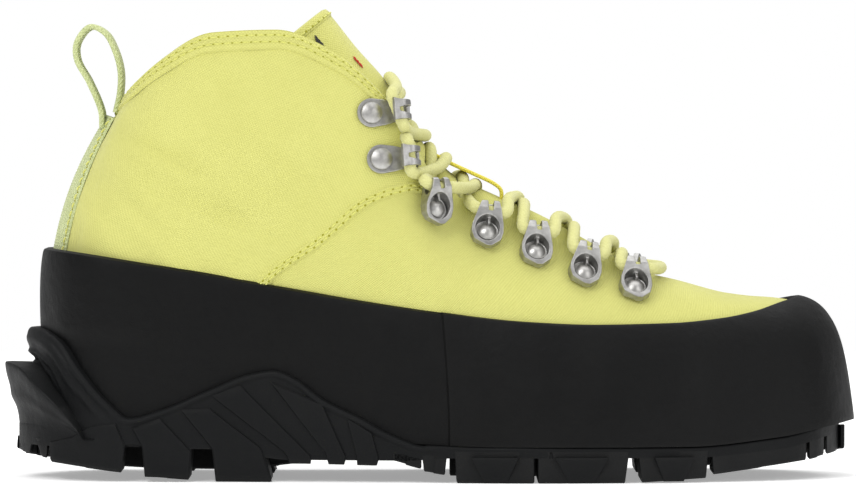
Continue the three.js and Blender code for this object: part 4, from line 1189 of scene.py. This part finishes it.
CREST = spline([(-39, 174.5), (-27.5, 160.6), (-17, 148), (-8.5, 135.5), (-1.5, 123), (9, 112.2),
                (26, 103.8), (40, 97.8), (57, 88.9), (71, 80.3), (83, 70.8), (95, 63.5)])
tongue_width = curve((0, 16.5), (0.65, 16.5), (0.8, 13), (1, 9))
tongue_wrap = curve((0, 20), (0.35, 13), (0.5, 15), (0.65, 16), (0.85, 12), (1, 8))
TONGUE_BEND, TONGUE_TURN = 0.4, math.radians(80)


def crest_frame(share):
    """The tongue's crest and the direction out of the boot there, in the boot's middle plane."""
    q = CREST(share)
    along = unit(CREST(share + 1e-3) - CREST(share - 1e-3))
    flat = 0 * q[..., 0]
    return points(q[..., 0], flat, q[..., 1]), points(-along[..., 1], flat, along[..., 0])


def tongue_place(a, share):
    """The tongue's face: a from -1 (lateral edge) to 1 (medial edge), share from its top to its tip."""
    crest, forward = crest_frame(share)
    angle = (a * TONGUE_TURN)[..., None]
    p = crest - forward * tongue_wrap(share)[..., None] * (1 - np.cos(angle))
    p[..., 1] = tongue_width(share) * np.sin(angle[..., 0])
    return p, forward * np.cos(angle) + np.array((0, 1, 0)) * np.sin(angle)


def pressed(p, n, height):
    """The height of soft padding where the lace presses it down."""
    path = LACE_PATH[::3]
    for k in range(0, len(path), 60):
        away = path[k:k + 60] - p[..., None, :]
        rise = (away * n[..., None, :]).sum(-1)
        beside = (away**2).sum(-1) - rise**2
        room = rise - LACE_RADIUS + 0.5 * beside / LACE_RADIUS
        height = np.minimum(height, np.where((beside < 40) & (rise > -6), room, 99).min(-1))
    return height


# The tongue's bound edge, as (height over its top, distance out).
BINDING = [(-3.2, 0.55), (-1.4, 0.75), (-0.1, 0.4), (0.45, -0.8), (0.55, -2.2), (0.3, -3.8), (-0.2, -4.7),
           (-1.6, -5.2), (-3.2, -5.1), (-3.1, -3.9), (-1.5, -3.4), (-1.4, -1.2), (-3.1, -0.6)]
# The two sewn marks: share down the tongue, place across it, threads.
MARKS = {"dark": (0.045, -0.72, 4, DARK_THREAD), "red": (0.122, -0.44, 2, RED_THREAD)}


def make_tongue():
    """One padded leaf from under the vamp to its bound top edge, with two sewn marks."""
    i, j = grid(72, 260)
    p, n = tongue_place(1 - 2 * i, 0.008 + 0.985 * j)
    edge = np.minimum(from_ends(p, 0), lengths(p, 1) + 3)
    puff = 1.1 * np.sin(math.pi * np.clip(edge / 16, 0, 0.5)) - 0.7
    quilt = np.clip(edge / 10, 0, 1) * np.clip(j * 5, 0, 1) * (j < 0.5)
    puff = puff + 0.35 * np.sin(p[..., 0] * 0.31 + 0.5) * quilt
    shallow = 0.1 + 0.5 * puff - rounded_edge(edge, 2.2, 1.8)
    deep = -4.2 - 0.9 * puff + rounded_edge(edge, 2.2, 1.6)
    deep, shallow = filled(p, n, deep, shallow)
    shallow = np.maximum(pressed(p, n, shallow + ripple(p, 20, 0.15)), deep + 1.4)
    piece = skin("tongue_padded", p, n, deep, shallow)
    dress(piece, CANVAS, "canvas", None, "tongue_flap", "tongue_flap_pad", "tongue_root", "tongue_root_pad",
          fill=0.5)
    start, end = [tuple(crest_frame(np.array(TONGUE_BEND + step))[0] * MM) for step in (0.035, -0.045)]
    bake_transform(piece)
    a = np.linspace(0.97, -0.97, 60)
    p, n = tongue_place(a, 0 * a + 0.004)
    crest, _ = crest_frame(np.array([0.0, 0.02]))
    up = unit(crest[0] - crest[1])
    rings = np.stack([p + up * h + n * off for h, off in BINDING], 1)
    piece = Shape().add(*sweep_parts(rings)).make("tongue_edge_binding", 50)
    dress(piece, CANVAS, "webbing", "tongue", "tongue_binding")
    sew("tongue", [(p - up * 2.2 + n * 0.75, n)], "tongue")
    for colour, (share, a, count, material) in MARKS.items():
        mark = Shape()
        for k in range(count):
            line = np.linspace(-0.014 + 0.003 * k, 0.014 - 0.003 * k, 12)
            p, n = tongue_place(a - 0.016 * k + 0 * line, share + line)
            add_stitches(mark, p + n * 0.6, n, pitch=1.6, length=1.9, thread=0.26)
        dress(mark.make(f"tongue_mark_{colour}"), material, "webbing", "tongue")


# --- straps and trims

TAPE_REACH = 0.58  # to each side, in ring positions
COLLAR_END = 5.9
PULL_LOOP = [(-121.2, 130), (-121.6, 136), (-126, 146.8), (-130.6, 155.3), (-130.6, 161.5), (-125.6, 167.4),
             (-120, 165), (-116.2, 158), (-114.4, 150.8), (-114.6, 143), (-116.2, 135.5)]
LACE_KEEPER = [(-0.5, 120.6), (3.2, 119.4), (8.5, 116.6), (17, 112.7), (24.8, 108.9), (27.2, 106.6),
               (27, 103), (24, 103.4)]
# The collar band's section: distance below the top, rise over it, distance out.
COLLAR = [(7.4, 0, 0.2), (7.0, 0, 0.95), (6.2, 0, 1.2), (5.3, 0, 1.3), (4.5, 0, 0.85), (3.3, 0, 1.5),
          (2.0, 0, 0.85), (1.2, 0, 1.15), (0.4, 0, 0.7), (0, -0.4, -0.2), (0, 0.05, -1.2), (0, 0.1, -2.4),
          (0, -0.2, -3.6), (0.4, 0, -4.8), (1.8, 0, -5.8), (4, 0, -6.2), (6.4, 0, -5.8), (8.2, 0, -5.0),
          (7.6, 0, -3.6), (7.4, 0, -1.4)]
COLLAR_ROWS = (4, 6)  # the section's points that the two seams run along
COLLAR_SEWN = (0, 1, *COLLAR_ROWS, 16, 17, 18, 19)


def plane_strap(name, line, width, thickness):
    """A flat strap along a line in the boot's middle plane."""
    path = even_path(spline(line), 0.8)
    p = points(path[:, 0], 0, path[:, 1])
    along = unit(np.gradient(p, axis=0))
    side = unit(np.cross(points(along[:, 2], 0, -along[:, 0]), along))
    section = rounded_bar(width, thickness)[None]
    rings = p[:, None] + side[:, None] * section[..., :1] + np.cross(along, side)[:, None] * section[..., 1:]
    return Shape().add(*sweep_parts(rings)).make(name, 60)


def make_trims():
    """Heel tape, pull loop and lace keeper."""
    low = lambda t: share_at(t, lambda x: rand_top(x) - 1)
    high = lambda t: share_at(t, level(133))
    p, n = upper_patch(60, 160, level(-TAPE_REACH), level(TAPE_REACH), low, high)
    run, from_edge = lengths(p, 0), from_ends(p, 0)
    across = 2 * run / run[-1:] - 1
    lift = 1.2 + 1.9 * (1 - across**2) - rounded_edge(from_edge, 0.5, 0.4)
    lift += 0.18 * ridge(from_edge, 1.2, 0.6) - 0.2 * ridge(from_edge, 2.6, 0.4)
    lift += 0.1 * np.sin(lengths(p, 1) * 2 * math.pi / 1.1)
    surface = p + n * lift[..., None]
    sew("heel_tape", [row_of(surface, n, distance, 1.1) for distance in (run, run[-1:] - run)], "boot")
    dress(skin("heel_tape_webbing", p, n, 0.6, lift), WEBBING, "webbing", "boot", "heel_tape")
    loop = plane_strap("pull_loop_webbing", PULL_LOOP, 19, 2.0)
    dress(loop, WEBBING, "webbing", None, "pull_loop")
    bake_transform(loop)
    keeper = plane_strap("lace_keeper_webbing", LACE_KEEPER, 9, 1.4)
    dress(keeper, KEEPER, "keeper_webbing", "boot", "lace_keeper")


def make_collar():
    """The padded edge band round the top of the ankle, rolled over to the lining, with its two seams."""
    t = np.linspace(-COLLAR_END, COLLAR_END, 420) % RING
    run = np.abs(upper_point(t, 0 * t + 0.9) - upper_point(t, 0 * t + 1))
    per_mm = 0.1 / np.linalg.norm(run, axis=-1)
    peak, _ = upper(t, 0 * t + 0.999)
    up = unit(peak - upper_point(t, 1 - 2 * per_mm))
    pucker = 0.12 * np.cos(lengths(peak) * 2 * math.pi / STITCH_PITCH)
    rings = []
    for d, h, off in COLLAR:
        q, m = upper(t, np.minimum(1 - d * per_mm, 0.999))
        wave = ripple(q, 42, 0.3) - (pucker if 1.9 < d < 4.6 else 0)
        rings.append(q + up * h + m * (off + (wave if off > 0.5 else 0 * wave))[..., None])
    rings = np.stack(rings, 1)
    coarse = rings[::6]
    sewn = np.tile(np.isin(np.arange(len(COLLAR)), COLLAR_SEWN), len(coarse))
    vertices, faces, _ = sweep_parts(coarse)
    moves = filling_moves(vertices, faces, np.append(sewn, [True, True]), 0.7)
    moves = moves[:len(sewn)].reshape(coarse.shape)
    at = np.arange(len(rings))
    for k, axis in np.ndindex(*rings.shape[1:]):
        rings[:, k, axis] += np.interp(at, at[::6], moves[:, k, axis])
    piece = Shape().add(*sweep_parts(rings)).make("collar_band_padded", 60)
    dress(piece, CANVAS, "canvas", "boot", "collar_band", fill=0.6)
    rows = [(rings[:, index], upper(t, 1 - COLLAR[index][0] * per_mm)[1]) for index in COLLAR_ROWS]
    sew("collar", rows, "boot")


def make_lining():
    """The padded ankle lining, the vamp's lining and the footbed."""
    t, v = upper_grid(220, 60, level(-7.3), level(7.3), board_share, level(0.985))
    p, n = upper(t % RING, v)
    up = lengths(p, 1)
    from_top = up[:, -1:] - up
    pad = np.clip((up - 45) / 12, 0, 1) * np.clip(from_top / 6, 0, 1)
    deep = -5.4 - 1.6 * pad + 0.5 * ridge(from_top, 26, 1.5) * pad + ripple(p, 24, 0.3)
    deep, shallow = filled(p, n, deep, -4.0)
    piece = skin("ankle_lining_padded", p, n, deep, np.minimum(shallow, -4.0))
    dress(piece, LINING, "lining", "boot", "quarter_lining_lateral", "quarter_lining_medial", fill=0.4)
    p, n = upper_patch(200, 40, level(7.2), level(RING - 7.2), board_share, level(0.985))
    piece = skin("vamp_lining_cloth", p, n, -5.6 + ripple(p, 20, 0.2), -4.9)
    dress(piece, LINING, "lining", "boot", "vamp_lining")
    p = foot_sheet(140, 50, 0.004, level(-6.6))
    rim, board = edge_distance(p), board_top(p[..., 0])
    thick = 4.2 + 2.6 * np.exp(-rim / 7) - rounded_edge(rim, 1.5, 1.2) + ripple(p, 30, 0.15)
    p[..., 2] = board + 1.4
    up = points(0, 0, np.ones(p.shape[:2]))
    low, high = filled(p, up, 0, thick, 0.6)
    piece = skin("footbed_padded", p, up, np.maximum(low, 0), high)
    dress(piece, LINING, "lining", "boot", "footbed", fill=0.3)

# --- the lace

LACE_RADIUS = 2.25
BAR = (86.8, 77.8)
SHOULDER_RISE = 2.6
SHOULDER_LEAN = 1.5
TAILS = {
    1: [(-15, 12.5, 147), (-19, 17.6, 140), (-23, 18.4, 127), (-27, 18.2, 112)],
    -1: [(-12, 13.2, 141.2), (-17, 18, 135), (-22.5, 18.4, 124), (-27, 18.2, 112)],
}
# Over the tongue between neighbouring fittings, from the toe: x on the crest and height over it of the
# strand that reaches the lateral fitting nearer the ankle, then of the other, then x and y where the first
# passes over.
CROSSINGS = [
    (66.6, 4.6, 70.6, 1.9, 68.5, 8), (48.4, 3.2, 53, 2, 50.8, 8), (30.8, 2.3, 34.8, 1.6, 33, 8),
    (17.2, 1.2, 12.4, 1.2, 15.5, -12), (4.4, 3.4, -0.2, 1.2, 4.4, -13), (-3.3, 2.6, -4.8, -1.2, -5, -13),
    (-12.8, 1.8, -16.3, 2.5, 0, 0),
]
OVER, UNDER = 5.4, 1.0
# How far the lace runs straight beside a fitting, on its toe side and on its ankle side.
LOOP_REACH, HOOK_REACH = (6.2, 4.2), (5.3, 5.3)
# Where the lace lies in each hook, from the bend's middle, and how far it slants across it.
HOOK_LAY = [(0.2, 0.05), (-0.7, 0.32)]


def lace_route():
    """The lace's middle line, from the lateral tail, across the vamp, to the medial tail."""
    frames = {side: fitting_frames(side) for side in (-1, 1)}
    count = len(frames[-1])
    table = np.linspace(0, 1, 2000)
    crest_x = CREST(table)[:, 0]

    def ends(side, i):
        axes = frames[side][i]
        is_hook = i >= len(LOOP_PLACES)
        toeward, ankleward = HOOK_REACH if is_hook else LOOP_REACH
        shift, slant = HOOK_LAY[i - len(LOOP_PLACES)] if is_hook else (0, 0)
        up, out = (HOOK_MIDDLE + shift, HOOK_BORE + METAL + 0.95) if is_hook else LOOP_TUNNEL[:2]
        lift = 0 if is_hook else 2.5 if i == len(LOOP_PLACES) - 1 else 1.2
        return [axes[:, :3] @ (up + along * slant + rise, out, -side * along) + axes[:, 3]
                for along, rise in ((toeward, 0), (0, 0), (-ankleward, lift))]

    def on_tongue(x, y, rise):
        share = np.interp(x, crest_x, table)
        a = math.asin(y / float(tongue_width(share))) / TONGUE_TURN
        q, out = tongue_place(np.array(a), np.array(share))
        return q + out * rise

    def over_tongue(i, side):
        """A strand's points over the tongue, and on which side of it they cross the other."""
        over_x, over_rise, under_x, under_rise, x, y = CROSSINGS[i]
        over = side > 0
        middle = [on_tongue(over_x if over else under_x, 0, over_rise if over else under_rise)]
        if y:
            cross = [on_tongue(x, y, OVER if over else UNDER)]
            middle = middle + cross if y * side < 0 else cross + middle
        return middle, y

    def shoulder(end, middle):
        q = end * 0.62 + middle * 0.38
        steep = max(0, (end[2] - 95) / 40)
        q[1] *= 1 + 0.06 * steep
        return q + np.array((SHOULDER_LEAN * steep, 0, SHOULDER_RISE * (1 - 0.8 * min(1, steep))))

    def strand(start):
        route = []
        for i in range(count):
            side = start if i % 2 == 0 else -start
            toe_end, bore, ankle_end = ends(side, i)
            middle, y = over_tongue(i, side)
            if i and CROSSINGS[i - 1][5] * side <= 0:
                route.append(shoulder(toe_end, route[-1]))
            route += [toe_end, bore, ankle_end]
            if y * side <= 0:
                route.append(shoulder(ankle_end, middle[0]))
            route += middle
        side = start if count % 2 == 0 else -start
        return route + [np.array((x, y * side, z), float) for x, y, z in TAILS[side]]

    bar = np.array((BAR[0], 0, BAR[1]), float)
    return strand(-1)[::-1] + [bar] + strand(1)


BRAID_STRANDS, BRAID_PITCH = 8, 9.0
LACE_PATH = even_path(spline(lace_route()), 0.5)
# A lace tip's rings: share of its length, and radius.
TIP_SHARES = np.array([0, 0, 0.04, 0.1, 0.5, 0.9, 0.96, 1, 1])
TIP_RADII = np.array([0.4, 1.9, 2.1, 2.0, 1.85, 1.75, 1.6, 1.2, 0.3])


def make_lace():
    """One round braided lace through every loop and hook, with a tip at each end."""
    path, run = LACE_PATH, np.linspace(0, 1, len(LACE_PATH)) * lengths(LACE_PATH)[-1]
    turn = turns(32)
    twist = run[:, None] * math.pi / BRAID_PITCH * 4
    a, b = [BRAID_STRANDS * turn[None] / 2 + way * twist for way in (1, -1)]
    pillow = np.sqrt(np.abs(np.sin(a) * np.sin(b)))
    ends = np.clip(np.minimum(run, run[-1] - run) / 1.5, 0.5, 1)
    radius = (LACE_RADIUS - 0.26 + 0.34 * pillow) * ends[:, None]
    piece = Shape().add(*tube_parts(path, radius)).make("lace_braid", 80)
    dress(piece, LACE, "lace", "boot", "lace")
    for name, q, before in (("lateral", path[0], path[6]), ("medial", path[-1], path[-7])):
        share = TIP_SHARES * 14 - 0.6 + np.arange(len(TIP_SHARES)) * 0.01
        tip_path = q + unit(q - before) * share[:, None]
        tube = tube_parts(tip_path, np.repeat(TIP_RADII[:, None], 24, 1))
        tip = Shape().add(*tube).make(f"lace_tip_{name}")
        dress(tip, AGLET, "aglet", "boot", f"aglet_{name}")


KEPT_LOOKS = {"heel_counter": STIFFENER, "toe_puff": STIFFENER, "collar_foam": FOAM, "midsole": FOAM,
              "insole_board": BOARD, "shank": STEEL}

for make in (make_camera, make_studio, make_lace, make_upper, make_rand, make_outsole, make_fittings,
             make_tongue, make_trims, make_collar, make_lining):
    make()
for name, material in KEPT_LOOKS.items():
    for slot in bpy.data.objects[name].material_slots:
        slot.material = material
